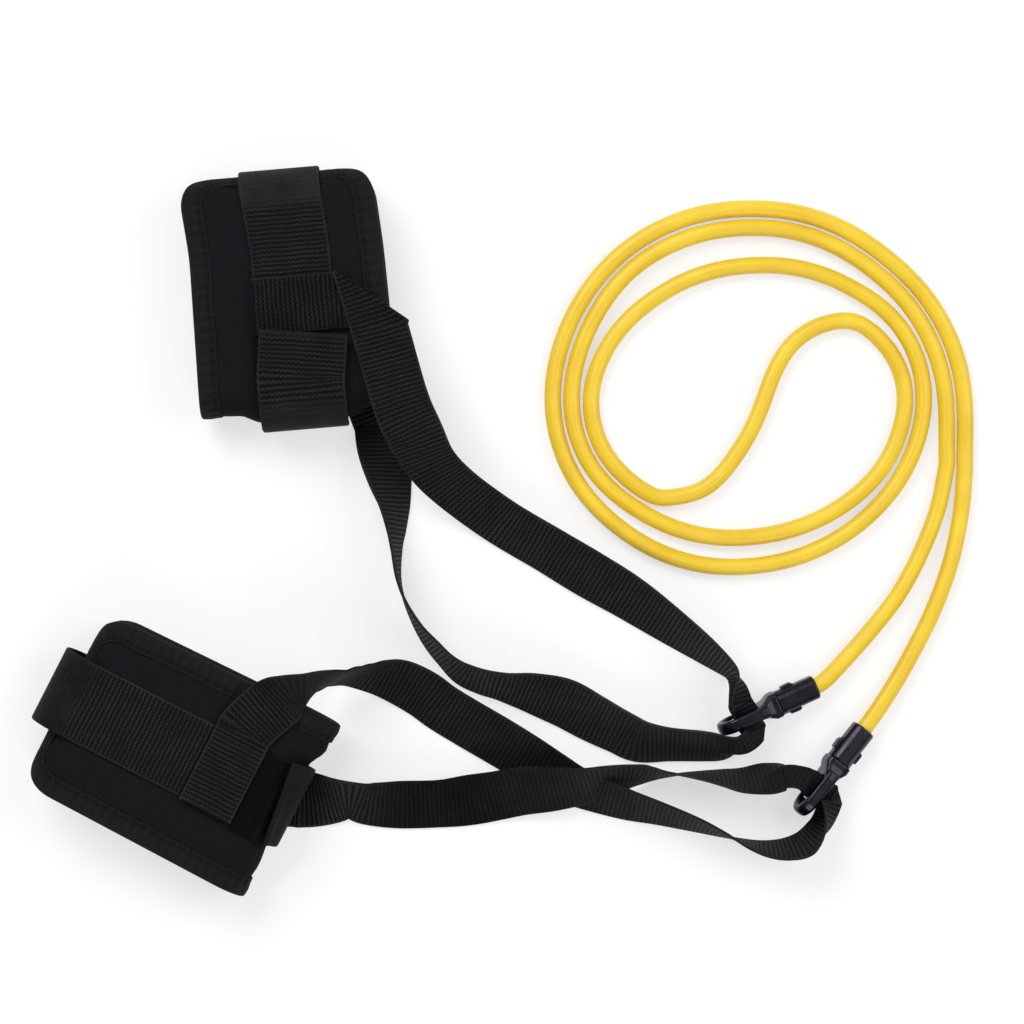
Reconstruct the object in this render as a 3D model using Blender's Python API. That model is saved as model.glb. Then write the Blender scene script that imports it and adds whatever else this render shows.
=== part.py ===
"""Stationary swim tether, lying flat as it is packed.

Two padded ankle cuffs each carry a webbing bridle. Each bridle runs through a snap
hook, and the two hooks hold the ends of one latex tube, which lies in a flat coil.
Metres, +Z up. The origin is on the floor, under the middle of the cuffs, bridles and hooks.
"""
import math

import bmesh
import bpy
from mathutils import Matrix, Vector

# Flat lay: places on the floor are written as pixels of the photograph
PIXEL = 0.000525
ORIGIN_PX = (453.66, 530.66)

# Clearances
CLEARANCE = 0.0003
CUT_OVERRUN = 0.002

# Webbing
WEBBING_THICKNESS = 0.0015
BRIDLE_WIDTH = 0.030
BELT_WIDTH = 0.0415
LAYER_PITCH = WEBBING_THICKNESS + CLEARANCE

# Cuff sleeve: neoprene pad wrapped to a flat loop with round bends
PAD_THICKNESS = 0.0045
PAD_BEND_RADIUS = 0.0165
PAD_STRAIGHT = 0.0950
PAD_WIDTH_AT_FOLD = 0.1015
PAD_WIDTH_AT_ENDS = 0.0965
PAD_CORNER_ALONG = 0.0230
PAD_CORNER_ACROSS = 0.0180
PAD_END_GAP = 0.0040
PAD_SHIFT = -0.0024

# Edge binding sewn round the pad
BINDING_WIDTH = 0.0100
BINDING_THICKNESS = 0.0008
BINDING_CLEARANCE = 0.0005

# Hook and loop closure
LOOP_STRIP_THICKNESS = 0.0010
LOOP_STRIP_WIDTH = 0.0455
LOOP_STRIP_SHIFT = -0.0016
TONGUE_WIDTH = 0.0455
HOOK_STRIP_THICKNESS = 0.0008
HOOK_STRIP_WIDTH = 0.0375
HOOK_STRIP_INSET = 0.0030
TONGUE_TIP_LIFT = 0.0008
TONGUE_PARTING = 0.0002

# Heights in a cuff
REAR_STRAND_TOP = WEBBING_THICKNESS
BELT_OFFSET = CLEARANCE
PAD_BOTTOM = REAR_STRAND_TOP + CLEARANCE + WEBBING_THICKNESS + BELT_OFFSET
CUFF_AXIS_HEIGHT = PAD_BOTTOM + PAD_BEND_RADIUS
LOOP_STRIP_OFFSET = BELT_OFFSET + LAYER_PITCH
HOOK_STRIP_OFFSET = LOOP_STRIP_OFFSET + LOOP_STRIP_THICKNESS + CLEARANCE
TONGUE_OFFSET = HOOK_STRIP_OFFSET + HOOK_STRIP_THICKNESS + CLEARANCE
PATCH_OFFSET = BELT_OFFSET + LAYER_PITCH

# Latex tube
TUBE_DIAMETER = 0.0088
TUBE_BORE = 0.0050
TUBE_REST_HEIGHT = TUBE_DIAMETER / 2
COIL_CENTRE_PX = (752.0, 392.0)
COIL_POINTS_PER_TURN = 24

# Snap hook: lengths along the hook run from the mouth of its clamp sleeve to its nose
SLEEVE_LENGTH = 0.0217
SLEEVE_HALF_WIDTH = 0.00625
SLEEVE_BORE_RADIUS = TUBE_DIAMETER / 2 + 1.5 * CLEARANCE
SLEEVE_MOUTH_CHAMFER = 0.0006
FLANGE_START = SLEEVE_LENGTH + CLEARANCE
FLANGE_LENGTH = 0.0036
FLANGE_HALF_WIDTH = 0.0070
BLOCK_END = 0.0328
BLOCK_HALF_WIDTH = 0.0042
HOOK_HALF_HEIGHT = 0.0100
ARM_HALF_THICKNESS = 0.00225
HOOK_HALF_WIDTH = 0.0035
BOW_RADIUS = HOOK_HALF_HEIGHT - ARM_HALF_THICKNESS
BOW_CENTRE = 0.0467
NOSE_TIP = 0.0446
NOSE_SLOT_HALF_WIDTH = 0.0014
SPIGOT_RADIUS = TUBE_BORE / 2 - CLEARANCE
SPIGOT_ROOT_RADIUS = 0.0016
SPIGOT_TIP = 0.0050
SPIGOT_BARBS = 5
TUBE_GRIP_END = 0.0205

# Catch arms that hold the clamp sleeve
CATCH_ARM_HALF_HEIGHT = 0.0024
CATCH_ARM_THICKNESS = 0.0010
CATCH_START = 0.0112
CATCH_LENGTH = 0.0066
CATCH_RISE = 0.0014

# Gate, its pin and its spring
GATE_PIVOT_ALONG = 0.0290
GATE_PIVOT_DROP = 0.0063
GATE_HUB_RADIUS = 0.0022
GATE_HALF_WIDTH = 0.0023
GATE_HALF_THICKNESS = 0.0016
GATE_TONGUE_LENGTH = 0.0022
PIN_RADIUS = 0.0008
LUG_GAP_HALF_WIDTH = GATE_HALF_WIDTH + CLEARANCE
LUG_SLOT_ROOF_DROP = 0.0031
LUG_SLOT_START = GATE_PIVOT_ALONG - GATE_HUB_RADIUS - 2 * CLEARANCE
SPRING_ALONG = 0.0314
SPRING_WIRE = 0.0004
SPRING_COIL_RADIUS = 0.0009
SPRING_TURNS = 4
SPRING_POCKET_RADIUS = SPRING_COIL_RADIUS + SPRING_WIRE / 2 + CLEARANCE
SPRING_POCKET_DROP = -0.0012

# How the bridle is gathered inside the hook
GATHER_ALONG = 0.0404
GATHER_SQUEEZE = 0.92
GATHER_BEND_RADIUS = 0.0011
GATHER_ANGLE = 180.0
GATHER_SAG = 0.0003
GATHER_LIFT = 0.00004
GATHER_SHARES = ((-2.1, 125.0), (-1.0, 180.0), (0.0, 180.0), (1.0, 180.0), (2.1, 125.0))
HOOK_PITCH = 4.9

# Places of the cuffs and hooks
CUFFS = {
    1: {"start_px": (288.4, 208.0), "heading": -85.1, "patch": 0.0517, "belt_slack": 0.0020,
        "tongue_end": 0.0668, "tongue_hinge": 0.0},
    2: {"start_px": (99.5, 706.4), "heading": -27.0, "patch": 0.0749, "belt_slack": 0.0105,
        "tongue_end": 0.1030, "tongue_hinge": 72.0},
}
HOOKS = {
    1: {"mouth_px": (816.6, 686.8), "heading": -155.7, "roll": 84.0, "height": 0.0069},
    2: {"mouth_px": (865.0, 729.5), "heading": -128.5, "roll": 78.0, "height": 0.0069},
}
TONGUE_SWING = {1: 150.0, 2: 110.0}

# Crease where bridle 1 leaves its patch
CREASE_START = 0.0210
CREASE_TURN = 78.0

# Colours, roughness and metal share of the materials
MATERIALS = {
    "neoprene": ("1B1A20", 0.85, 0.0),
    "binding_tape": ("1D1B22", 0.80, 0.0),
    "webbing": ("1A191E", 0.75, 0.0),
    "loop_pile": ("141317", 0.95, 0.0),
    "hook_tape": ("17161A", 0.70, 0.0),
    "hook_plastic": ("18161C", 0.28, 0.0),
    "steel": ("B9BBBD", 0.30, 1.0),
    "latex": ("F2CF3E", 0.45, 0.0),
}


def clear_scene():
    for item in list(bpy.data.objects):
        bpy.data.objects.remove(item, do_unlink=True)


def linear(channel):
    return channel / 12.92 if channel <= 0.04045 else ((channel + 0.055) / 1.055) ** 2.4


def material(name):
    found = bpy.data.materials.get(name)
    if found:
        return found
    code, roughness, metal = MATERIALS[name]
    made = bpy.data.materials.new(name)
    made.use_nodes = True
    shader = made.node_tree.nodes["Principled BSDF"]
    colour = [linear(int(code[k:k + 2], 16) / 255) for k in (0, 2, 4)]
    shader.inputs["Base Color"].default_value = (*colour, 1.0)
    shader.inputs["Roughness"].default_value = roughness
    shader.inputs["Metallic"].default_value = metal
    return made


def add_mesh(name, points, faces, finish, origin=None):
    """Add one closed solid; its object's origin is at the joint's axis where one is given."""
    place = Vector(origin) if origin is not None else Vector((0, 0, 0))
    mesh = bpy.data.meshes.new(name)
    mesh.from_pydata([tuple(Vector(p) - place) for p in points], [], faces)
    work = bmesh.new()
    work.from_mesh(mesh)
    bmesh.ops.recalc_face_normals(work, faces=work.faces)
    work.to_mesh(mesh)
    work.free()
    mesh.materials.append(material(finish))
    mesh.shade_smooth()
    mesh.set_sharp_from_angle(angle=math.radians(40))
    made = bpy.data.objects.new(name, mesh)
    made.location = place
    bpy.context.scene.collection.objects.link(made)
    return made


def loft(rings, closed=False):
    """Join rings of equal point counts; an open loft gets a face at each end."""
    count = len(rings[0])
    points = [p for ring in rings for p in ring]
    faces = []
    spans = len(rings) if closed else len(rings) - 1
    for k in range(spans):
        near = k * count
        far = ((k + 1) % len(rings)) * count
        for j in range(count):
            after = (j + 1) % count
            faces.append((near + j, near + after, far + after, far + j))
    if not closed:
        faces.append(tuple(range(count))[::-1])
        faces.append(tuple(range((len(rings) - 1) * count, len(rings) * count)))
    return points, faces


def cut_or_join(target, tools, operation):
    """Apply one Boolean per tool and remove the tools."""
    for tool in tools:
        step = target.modifiers.new(operation.lower(), "BOOLEAN")
        step.operation = operation
        step.solver = "EXACT"
        step.object = tool
        graph = bpy.context.evaluated_depsgraph_get()
        result = bpy.data.meshes.new_from_object(target.evaluated_get(graph))
        target.modifiers.remove(step)
        target.data = result
        bpy.data.objects.remove(tool, do_unlink=True)
    target.data.shade_smooth()
    target.data.set_sharp_from_angle(angle=math.radians(40))


def catmull_rom(before, start, end, after, share):
    """Point at a share of the way from start to end; works on numbers and vectors."""
    return 0.5 * (2 * start + (end - before) * share
                  + (2 * before - 5 * start + 4 * end - after) * share ** 2
                  + (3 * start - before - 3 * end + after) * share ** 3)


def smooth(values, steps):
    """Curve through all values with a number of steps to each span."""
    last = len(values) - 1
    out = []
    for k in range(last):
        before = values[k - 1] if k else 2 * values[0] - values[1]
        after = values[k + 2] if k + 2 <= last else 2 * values[last] - values[last - 1]
        for j in range(steps):
            out.append(catmull_rom(before, values[k], values[k + 1], after, j / steps))
    out.append(values[last])
    return out


def lay(pixel, height=0.0):
    """Place on the floor of a pixel of the photograph."""
    return Vector(((pixel[0] - ORIGIN_PX[0]) * PIXEL, (ORIGIN_PX[1] - pixel[1]) * PIXEL, height))


# Cuffs

FOLD_STEPS = 12
END_STEPS = 8
BEND_LENGTH = math.pi * PAD_BEND_RADIUS
PAD_START = -BEND_LENGTH / 2 + PAD_END_GAP / 2
PAD_END = 2 * PAD_STRAIGHT + 1.5 * BEND_LENGTH - PAD_END_GAP / 2
FOLD_MIDDLE = PAD_STRAIGHT + BEND_LENGTH / 2


def cuff_matrix(cuff):
    """Cuff frame: X along the wrap to the fold, Y across, Z up, level with the sleeve's middle."""
    place = lay(cuff["start_px"], CUFF_AXIS_HEIGHT)
    return Matrix.Translation(place) @ Matrix.Rotation(math.radians(cuff["heading"]), 4, "Z")


def wrap(along, across, offset, slack=0.0):
    """Point of the sleeve in the cuff frame.

    along runs on the pad's outer face: the top from 0 to PAD_STRAIGHT, round the fold, back
    along the underside, round the closed end and on over the top. A belt with slack makes a
    wider bend at the closed end.
    """
    radius = PAD_BEND_RADIUS + offset
    under = PAD_STRAIGHT + BEND_LENGTH
    end = under + PAD_STRAIGHT + slack
    over = end + BEND_LENGTH
    if along < -slack:
        turn = (-slack - along) / PAD_BEND_RADIUS
        return Vector((-slack - radius * math.sin(turn), across, radius * math.cos(turn)))
    if along <= PAD_STRAIGHT:
        return Vector((along, across, radius))
    if along <= under:
        turn = (along - PAD_STRAIGHT) / PAD_BEND_RADIUS
        return Vector((PAD_STRAIGHT + radius * math.sin(turn), across, radius * math.cos(turn)))
    if along <= end:
        return Vector((PAD_STRAIGHT - (along - under), across, -radius))
    if along <= over:
        turn = (along - end) / PAD_BEND_RADIUS
        return Vector((-slack - radius * math.sin(turn), across, -radius * math.cos(turn)))
    return Vector((-slack + along - over, across, radius))


def steps_between(start, end, count):
    return [start + (end - start) * k / count for k in range(count + 1)]


def pad_half_width(along):
    """Half the pad's width: a long taper from the fold to each end, with round corners."""
    far = abs(along - FOLD_MIDDLE)
    reach = PAD_END - FOLD_MIDDLE
    half = (PAD_WIDTH_AT_FOLD + (PAD_WIDTH_AT_ENDS - PAD_WIDTH_AT_FOLD) * far / reach) / 2
    left = max(0.0, reach - far)
    if left < PAD_CORNER_ALONG:
        share = 1 - left / PAD_CORNER_ALONG
        half -= PAD_CORNER_ACROSS * (1 - math.sqrt(max(0.0, 1 - share ** 2)))
    return half


def pad_stations():
    corner = [PAD_CORNER_ALONG * (1 - math.cos(math.pi / 2 * k / END_STEPS)) for k in range(END_STEPS + 1)]
    first = [PAD_START + c for c in corner]
    last = [PAD_END - c for c in reversed(corner)]
    top = [0.0, PAD_STRAIGHT / 3, PAD_STRAIGHT * 2 / 3]
    fold = steps_between(PAD_STRAIGHT, PAD_STRAIGHT + BEND_LENGTH, FOLD_STEPS)
    under_start = PAD_STRAIGHT + BEND_LENGTH
    under = [under_start + PAD_STRAIGHT / 3, under_start + PAD_STRAIGHT * 2 / 3]
    under.append(under_start + PAD_STRAIGHT)
    return first, top + fold + under, last


def make_pad(number, frame):
    first, middle, last = pad_stations()
    across_shares = (-1.0, -0.5, 0.0, 0.5, 1.0)
    rings = []
    for along in first + middle + last:
        half = pad_half_width(along)
        across = [PAD_SHIFT + half * share for share in across_shares]
        outer = [frame @ wrap(along, a, 0.0) for a in across]
        inner = [frame @ wrap(along, a, -PAD_THICKNESS) for a in reversed(across)]
        rings.append(outer + inner)
    add_mesh(f"pad_{number}", *loft(rings), "neoprene")


def pad_outline():
    """Outline of the unrolled pad as (along, across), anticlockwise from one end."""
    first, middle, last = pad_stations()
    side = [(along, pad_half_width(along)) for along in first + middle + last]
    end_shares = (0.5, 0.0, -0.5)
    outline = [(a, -w) for a, w in side]
    outline += [(PAD_END, side[-1][1] * share) for share in reversed(end_shares)]
    outline += [(a, w) for a, w in reversed(side)]
    outline += [(PAD_START, side[0][1] * share) for share in end_shares]
    return outline


def make_binding(number, frame):
    """Tape folded over the pad's edge: a U-section carried round the whole outline."""
    out = BINDING_CLEARANCE + BINDING_THICKNESS
    near = BINDING_CLEARANCE
    middle = BINDING_WIDTH / 2
    below = -PAD_THICKNESS
    profile = [
        (BINDING_WIDTH, out), (middle, out), (0.0, out), (-out, 0.0), (-out, below),
        (0.0, below - out), (middle, below - out), (BINDING_WIDTH, below - out),
        (BINDING_WIDTH, below - near), (middle, below - near), (-near, below - near),
        (-near, near), (middle, near), (BINDING_WIDTH, near),
    ]
    outline = pad_outline()
    rings = []
    for k, (along, across) in enumerate(outline):
        before = Vector(outline[k - 1])
        after = Vector(outline[(k + 1) % len(outline)])
        run = (after - before).normalized()
        inward = Vector((-run.y, run.x))
        ring = []
        for depth, offset in profile:
            spot = Vector((along, across)) + inward * depth
            ring.append(frame @ wrap(spot.x, spot.y + PAD_SHIFT, offset))
        rings.append(ring)
    add_mesh(f"binding_{number}", *loft(rings, closed=True), "binding_tape")


def strip(frame, stations, width, thickness, shift=0.0, slack=0.0):
    """Flat strip on the sleeve; a station is (along, offset of its inner face), or has its own width too."""
    rings = []
    for station in stations:
        along, offset = station[:2]
        half = (station[2] if len(station) > 2 else width) / 2
        ring = []
        for side, height in ((-1, 0), (1, 0), (1, thickness), (-1, thickness)):
            ring.append(frame @ wrap(along, shift + side * half, offset + height, slack))
        rings.append(ring)
    return loft(rings)


def hinge_along(cuff):
    """Place along the wrap of the line where the closure tongue bends open."""
    return PAD_STRAIGHT + math.radians(cuff["tongue_hinge"]) * PAD_BEND_RADIUS


def make_belt(number, cuff, frame):
    """Belt webbing from the tongue's hinge line round the fold, underside and closed end."""
    slack = cuff["belt_slack"]
    start = hinge_along(cuff) + TONGUE_PARTING
    under = PAD_STRAIGHT + BEND_LENGTH
    end = under + PAD_STRAIGHT + slack
    over = end + BEND_LENGTH
    last = over + slack + cuff["patch"] + BRIDLE_WIDTH / 2
    fold = [a for a in steps_between(PAD_STRAIGHT, under, FOLD_STEPS) if a > start + CLEARANCE]
    rest = steps_between(end, over, END_STEPS) + [last]
    stations = []
    for along in [start] + fold:
        share = min(1.0, 1.6 * (under - along) / (under - PAD_STRAIGHT))
        stations.append((along, BELT_OFFSET + (TONGUE_OFFSET - BELT_OFFSET) * share,
                         BELT_WIDTH + (TONGUE_WIDTH - BELT_WIDTH) * share))
    stations += [(along, BELT_OFFSET) for along in rest]
    belt = strip(frame, stations, BELT_WIDTH, WEBBING_THICKNESS, 0.0, slack)
    add_mesh(f"belt_{number}", *belt, "webbing")


def tongue_path(cuff):
    """Stations of the tongue from its free end to its hinge, on the top and round the fold."""
    hinge = hinge_along(cuff)
    end = cuff["tongue_end"]
    if end > PAD_STRAIGHT:
        turn = math.asin((end - PAD_STRAIGHT) / (PAD_BEND_RADIUS + TONGUE_OFFSET))
        end = PAD_STRAIGHT + turn * PAD_BEND_RADIUS
    fold = steps_between(PAD_STRAIGHT, PAD_STRAIGHT + BEND_LENGTH, FOLD_STEPS)
    inside = [a for a in fold if end + CLEARANCE < a < hinge - CLEARANCE]
    if end < PAD_STRAIGHT:
        inside = steps_between(end, min(hinge, PAD_STRAIGHT), 3)[1:-1] + inside
    return [end] + inside + [hinge]


def make_closure(number, cuff, frame):
    """Loop strip on the sleeve, and the tongue with the hook strip under it."""
    hinge = hinge_along(cuff)
    first = cuff["patch"] + BRIDLE_WIDTH / 2 + CLEARANCE
    fold = steps_between(PAD_STRAIGHT, PAD_STRAIGHT + BEND_LENGTH, FOLD_STEPS)
    last = max(PAD_STRAIGHT, hinge - math.radians(15) * PAD_BEND_RADIUS)
    base = [first] + [a for a in fold if first < a <= last + CLEARANCE]
    loop_stations = [(along, BELT_OFFSET + CLEARANCE) for along in base]
    add_mesh(f"loop_strip_{number}",
             *strip(frame, loop_stations, LOOP_STRIP_WIDTH, LOOP_STRIP_THICKNESS, LOOP_STRIP_SHIFT),
             "loop_pile")
    under_loop = BELT_OFFSET + LOOP_STRIP_THICKNESS + 2 * CLEARANCE
    path = tongue_path(cuff)
    axis_point = frame @ wrap(hinge, 0.0, tongue_offset(cuff, hinge) + WEBBING_THICKNESS)
    stations = []
    for k, along in enumerate(path):
        lift = TONGUE_TIP_LIFT if k == 0 else 0.0
        stop = TONGUE_PARTING if k == len(path) - 1 else 0.0
        stations.append((along - stop, tongue_offset(cuff, along) + lift))
    add_mesh(f"tongue_{number}", *strip(frame, stations, TONGUE_WIDTH, WEBBING_THICKNESS),
             "webbing", origin=axis_point)
    start, end = path[0] + HOOK_STRIP_INSET, hinge - HOOK_STRIP_INSET
    inner = [start] + [a for a in path[1:-1] if start < a < end] + [end]
    hook_stations = [(along, max(under_loop, tongue_offset(cuff, along) - HOOK_STRIP_THICKNESS - CLEARANCE))
                     for along in inner]
    add_mesh(f"hook_strip_{number}", *strip(frame, hook_stations, HOOK_STRIP_WIDTH, HOOK_STRIP_THICKNESS),
             "hook_tape", origin=axis_point)
    return axis_point


def tongue_offset(cuff, along):
    """Height of the tongue's inner face over the pad: full on the top, eased down the fold."""
    under = PAD_STRAIGHT + BEND_LENGTH
    share = (under - along) / (under - PAD_STRAIGHT)
    return BELT_OFFSET + (TONGUE_OFFSET - BELT_OFFSET) * min(1.0, 1.6 * share)


# Snap hooks

def hook_matrix(hook):
    """Hook frame: X from the sleeve's mouth to the nose, Y to the spine's side, Z across."""
    turn = math.radians(hook["heading"])
    pitch = math.radians(HOOK_PITCH)
    roll = math.radians(hook["roll"])
    along = Vector((math.cos(turn) * math.cos(pitch), math.sin(turn) * math.cos(pitch), math.sin(pitch)))
    level = Vector((0, 0, 1)).cross(along).normalized()
    up = along.cross(level)
    spine = (level * math.cos(roll) + up * math.sin(roll)).normalized()
    cross = along.cross(spine)
    turned = Matrix((along, spine, cross)).transposed().to_4x4()
    return Matrix.Translation(lay(hook["mouth_px"], hook["height"])) @ turned


def rounded_ring(centre, axis_a, axis_b, half_a, half_b, power, count=12):
    """Ring of a rounded rectangle, drawn as a superellipse."""
    ring = []
    for k in range(count):
        turn = 2 * math.pi * (k + 0.5) / count
        c, s = math.cos(turn), math.sin(turn)
        a = half_a * math.copysign(abs(c) ** (2 / power), c)
        b = half_b * math.copysign(abs(s) ** (2 / power), s)
        ring.append(centre + axis_a * a + axis_b * b)
    return ring


def bar(name, matrix, stations, finish, power=4.0, count=12, origin=None):
    """Bar along a path in the hook's plane; a station is (along, spine side, half thickness, half width)."""
    rings = []
    across = Vector((0, 0, 1))
    for k, (along, side, thick, wide) in enumerate(stations):
        before = stations[max(0, k - 1)]
        after = stations[min(len(stations) - 1, k + 1)]
        run = Vector((after[0] - before[0], after[1] - before[1], 0)).normalized()
        normal = across.cross(run)
        ring = rounded_ring(Vector((along, side, 0)), normal, across, thick, wide, power, count)
        rings.append([matrix @ p for p in ring])
    return add_mesh(name, *loft(rings), finish, origin)


def turned_piece(name, matrix, profile, axis, centre, finish, count=16, origin=None):
    """Round piece about an axis through centre; the profile is (place on the axis, radius)."""
    axis = Vector(axis)
    first = axis.orthogonal().normalized()
    second = axis.cross(first)
    rings = []
    for place, radius in profile:
        ring = []
        for k in range(count):
            turn = 2 * math.pi * k / count
            spot = Vector(centre) + axis * place + (first * math.cos(turn) + second * math.sin(turn)) * radius
            ring.append(matrix @ spot)
        rings.append(ring)
    return add_mesh(name, *loft(rings), finish, origin)


def block(name, matrix, low, high):
    """Plain box used as a cutter or as a small moulded block."""
    corners = [(x, y, z) for x in (low[0], high[0]) for y in (low[1], high[1]) for z in (low[2], high[2])]
    faces = [(0, 1, 3, 2), (4, 6, 7, 5), (0, 4, 5, 1), (2, 3, 7, 6), (0, 2, 6, 4), (1, 5, 7, 3)]
    return add_mesh(name, [matrix @ Vector(c) for c in corners], faces, "hook_plastic")


def make_hook_frame(number, matrix):
    """Moulded hook: barbed spigot, flange, gate lugs, spine, bow and forked nose in one piece."""
    name = f"hook_frame_{number}"
    top = BOW_RADIUS
    half_height = HOOK_HALF_HEIGHT - 2 * CLEARANCE
    mid = (FLANGE_START + FLANGE_LENGTH + BLOCK_END) / 2
    base = bar(name, matrix, [
        (FLANGE_START, 0.0, FLANGE_HALF_WIDTH - CLEARANCE, FLANGE_HALF_WIDTH - CLEARANCE),
        (FLANGE_START + CLEARANCE, 0.0, FLANGE_HALF_WIDTH, FLANGE_HALF_WIDTH),
        (FLANGE_START + FLANGE_LENGTH, 0.0, FLANGE_HALF_WIDTH, FLANGE_HALF_WIDTH),
        (mid, 0.0, (FLANGE_HALF_WIDTH + half_height) / 2, (FLANGE_HALF_WIDTH + BLOCK_HALF_WIDTH) / 2.3),
        (BLOCK_END - FLANGE_LENGTH / 2, 0.0, half_height, BLOCK_HALF_WIDTH),
        (BLOCK_END, 0.0, half_height - CLEARANCE, BLOCK_HALF_WIDTH - CLEARANCE),
    ], "hook_plastic", power=5.0, count=16)
    bow_steps = 10
    bow = []
    for k in range(bow_steps + 1):
        turn = math.pi * (0.5 - k / bow_steps)
        bow.append((BOW_CENTRE + BOW_RADIUS * math.cos(turn), BOW_RADIUS * math.sin(turn),
                    ARM_HALF_THICKNESS, HOOK_HALF_WIDTH))
    spine = [
        (BLOCK_END - FLANGE_LENGTH, top - CLEARANCE, ARM_HALF_THICKNESS, HOOK_HALF_WIDTH),
        (BLOCK_END, top, ARM_HALF_THICKNESS, HOOK_HALF_WIDTH),
        ((BLOCK_END + BOW_CENTRE) / 2, top, ARM_HALF_THICKNESS, HOOK_HALF_WIDTH),
    ]
    nose = [(NOSE_TIP, -BOW_RADIUS, ARM_HALF_THICKNESS * 0.8, HOOK_HALF_WIDTH * 0.9)]
    hook = bar("hook_arm", matrix, spine + bow + nose, "hook_plastic", power=3.2)
    spigot_profile = [(SPIGOT_TIP, SPIGOT_ROOT_RADIUS * 0.8)]
    barb_length = (TUBE_GRIP_END - SPIGOT_TIP) / SPIGOT_BARBS
    for k in range(SPIGOT_BARBS):
        start = SPIGOT_TIP + k * barb_length
        spigot_profile.append((start + barb_length * 0.7, SPIGOT_RADIUS))
        spigot_profile.append((start + barb_length * 0.8, SPIGOT_ROOT_RADIUS))
    spigot_profile.append((FLANGE_START + FLANGE_LENGTH / 2, SPIGOT_ROOT_RADIUS))
    spigot = turned_piece("spigot", matrix, spigot_profile, (1, 0, 0), (0, 0, 0), "hook_plastic", count=12)
    arm_floor = SLEEVE_HALF_WIDTH - CATCH_ARM_THICKNESS + CLEARANCE
    tools = [hook, spigot]
    for side in (-1, 1):
        arm_top = arm_floor + CATCH_ARM_THICKNESS
        outline = [
            (FLANGE_START + FLANGE_LENGTH / 2, arm_floor), (CATCH_START, arm_floor),
            (CATCH_START, arm_top + CATCH_RISE * 0.5), (CATCH_START + CATCH_RISE, arm_top + CATCH_RISE),
            (CATCH_START + CATCH_LENGTH, arm_top + CATCH_RISE * 0.9), (CATCH_START + CATCH_LENGTH, arm_top),
            (FLANGE_START + FLANGE_LENGTH / 2, arm_top),
        ]
        rings = []
        for height in (-CATCH_ARM_HALF_HEIGHT, CATCH_ARM_HALF_HEIGHT):
            rings.append([matrix @ Vector((a, height, side * c)) for a, c in outline])
        tools.append(add_mesh(f"catch_arm_{side}", *loft(rings), "hook_plastic"))
    cut_or_join(base, tools, "UNION")
    reach = HOOK_HALF_HEIGHT + CUT_OVERRUN
    lug_slot = block("lug_slot", matrix,
                     (LUG_SLOT_START, -reach, -LUG_GAP_HALF_WIDTH),
                     (BLOCK_END + CUT_OVERRUN, -LUG_SLOT_ROOF_DROP, LUG_GAP_HALF_WIDTH))
    slot_end = NOSE_TIP + GATE_TONGUE_LENGTH + 2 * CLEARANCE
    nose_slot = block("nose_slot", matrix,
                      (NOSE_TIP - CUT_OVERRUN, -reach, -NOSE_SLOT_HALF_WIDTH),
                      (slot_end, -BOW_RADIUS + reach / 3, NOSE_SLOT_HALF_WIDTH))
    pin_reach = BLOCK_HALF_WIDTH + CUT_OVERRUN
    pin_line = [(-pin_reach, PIN_RADIUS + CLEARANCE), (pin_reach, PIN_RADIUS + CLEARANCE)]
    pin_hole = turned_piece("pin_hole", matrix, pin_line,
                            (0, 0, 1), (GATE_PIVOT_ALONG, -GATE_PIVOT_DROP, 0), "hook_plastic")
    pocket_depth = CUT_OVERRUN + LUG_SLOT_ROOF_DROP + SPRING_POCKET_DROP
    pocket_line = [(0.0, SPRING_POCKET_RADIUS), (pocket_depth, SPRING_POCKET_RADIUS)]
    pocket = turned_piece("spring_pocket", matrix, pocket_line,
                          (0, -1, 0), (SPRING_ALONG, SPRING_POCKET_DROP, 0), "hook_plastic", count=12)
    cut_or_join(base, [lug_slot, nose_slot, pin_hole, pocket], "DIFFERENCE")
    return base


def make_sleeve(number, matrix):
    """Clamp sleeve: a rounded square barrel with a round bore and a slot for each catch arm."""
    name = f"clamp_sleeve_{number}"
    half = SLEEVE_HALF_WIDTH
    sleeve = bar(name, matrix, [
        (0.0, 0.0, half - SLEEVE_MOUTH_CHAMFER, half - SLEEVE_MOUTH_CHAMFER),
        (SLEEVE_MOUTH_CHAMFER, 0.0, half, half),
        (SLEEVE_LENGTH, 0.0, half, half),
    ], "hook_plastic", power=4.5, count=24)
    bore = turned_piece("bore", matrix, [
        (-CUT_OVERRUN, SLEEVE_BORE_RADIUS), (SLEEVE_LENGTH + CUT_OVERRUN, SLEEVE_BORE_RADIUS),
    ], (1, 0, 0), (0, 0, 0), "hook_plastic", count=20)
    floor = SLEEVE_HALF_WIDTH - CATCH_ARM_THICKNESS
    height = CATCH_ARM_HALF_HEIGHT + CLEARANCE
    slots = []
    for side in (-1, 1):
        ends = sorted((side * floor, side * (half + CUT_OVERRUN)))
        slots.append(block(f"arm_slot_{side}", matrix, (CATCH_START - 2 * CLEARANCE, -height, ends[0]),
                           (SLEEVE_LENGTH + CUT_OVERRUN, height, ends[1])))
    cut_or_join(sleeve, [bore] + slots, "DIFFERENCE")


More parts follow.
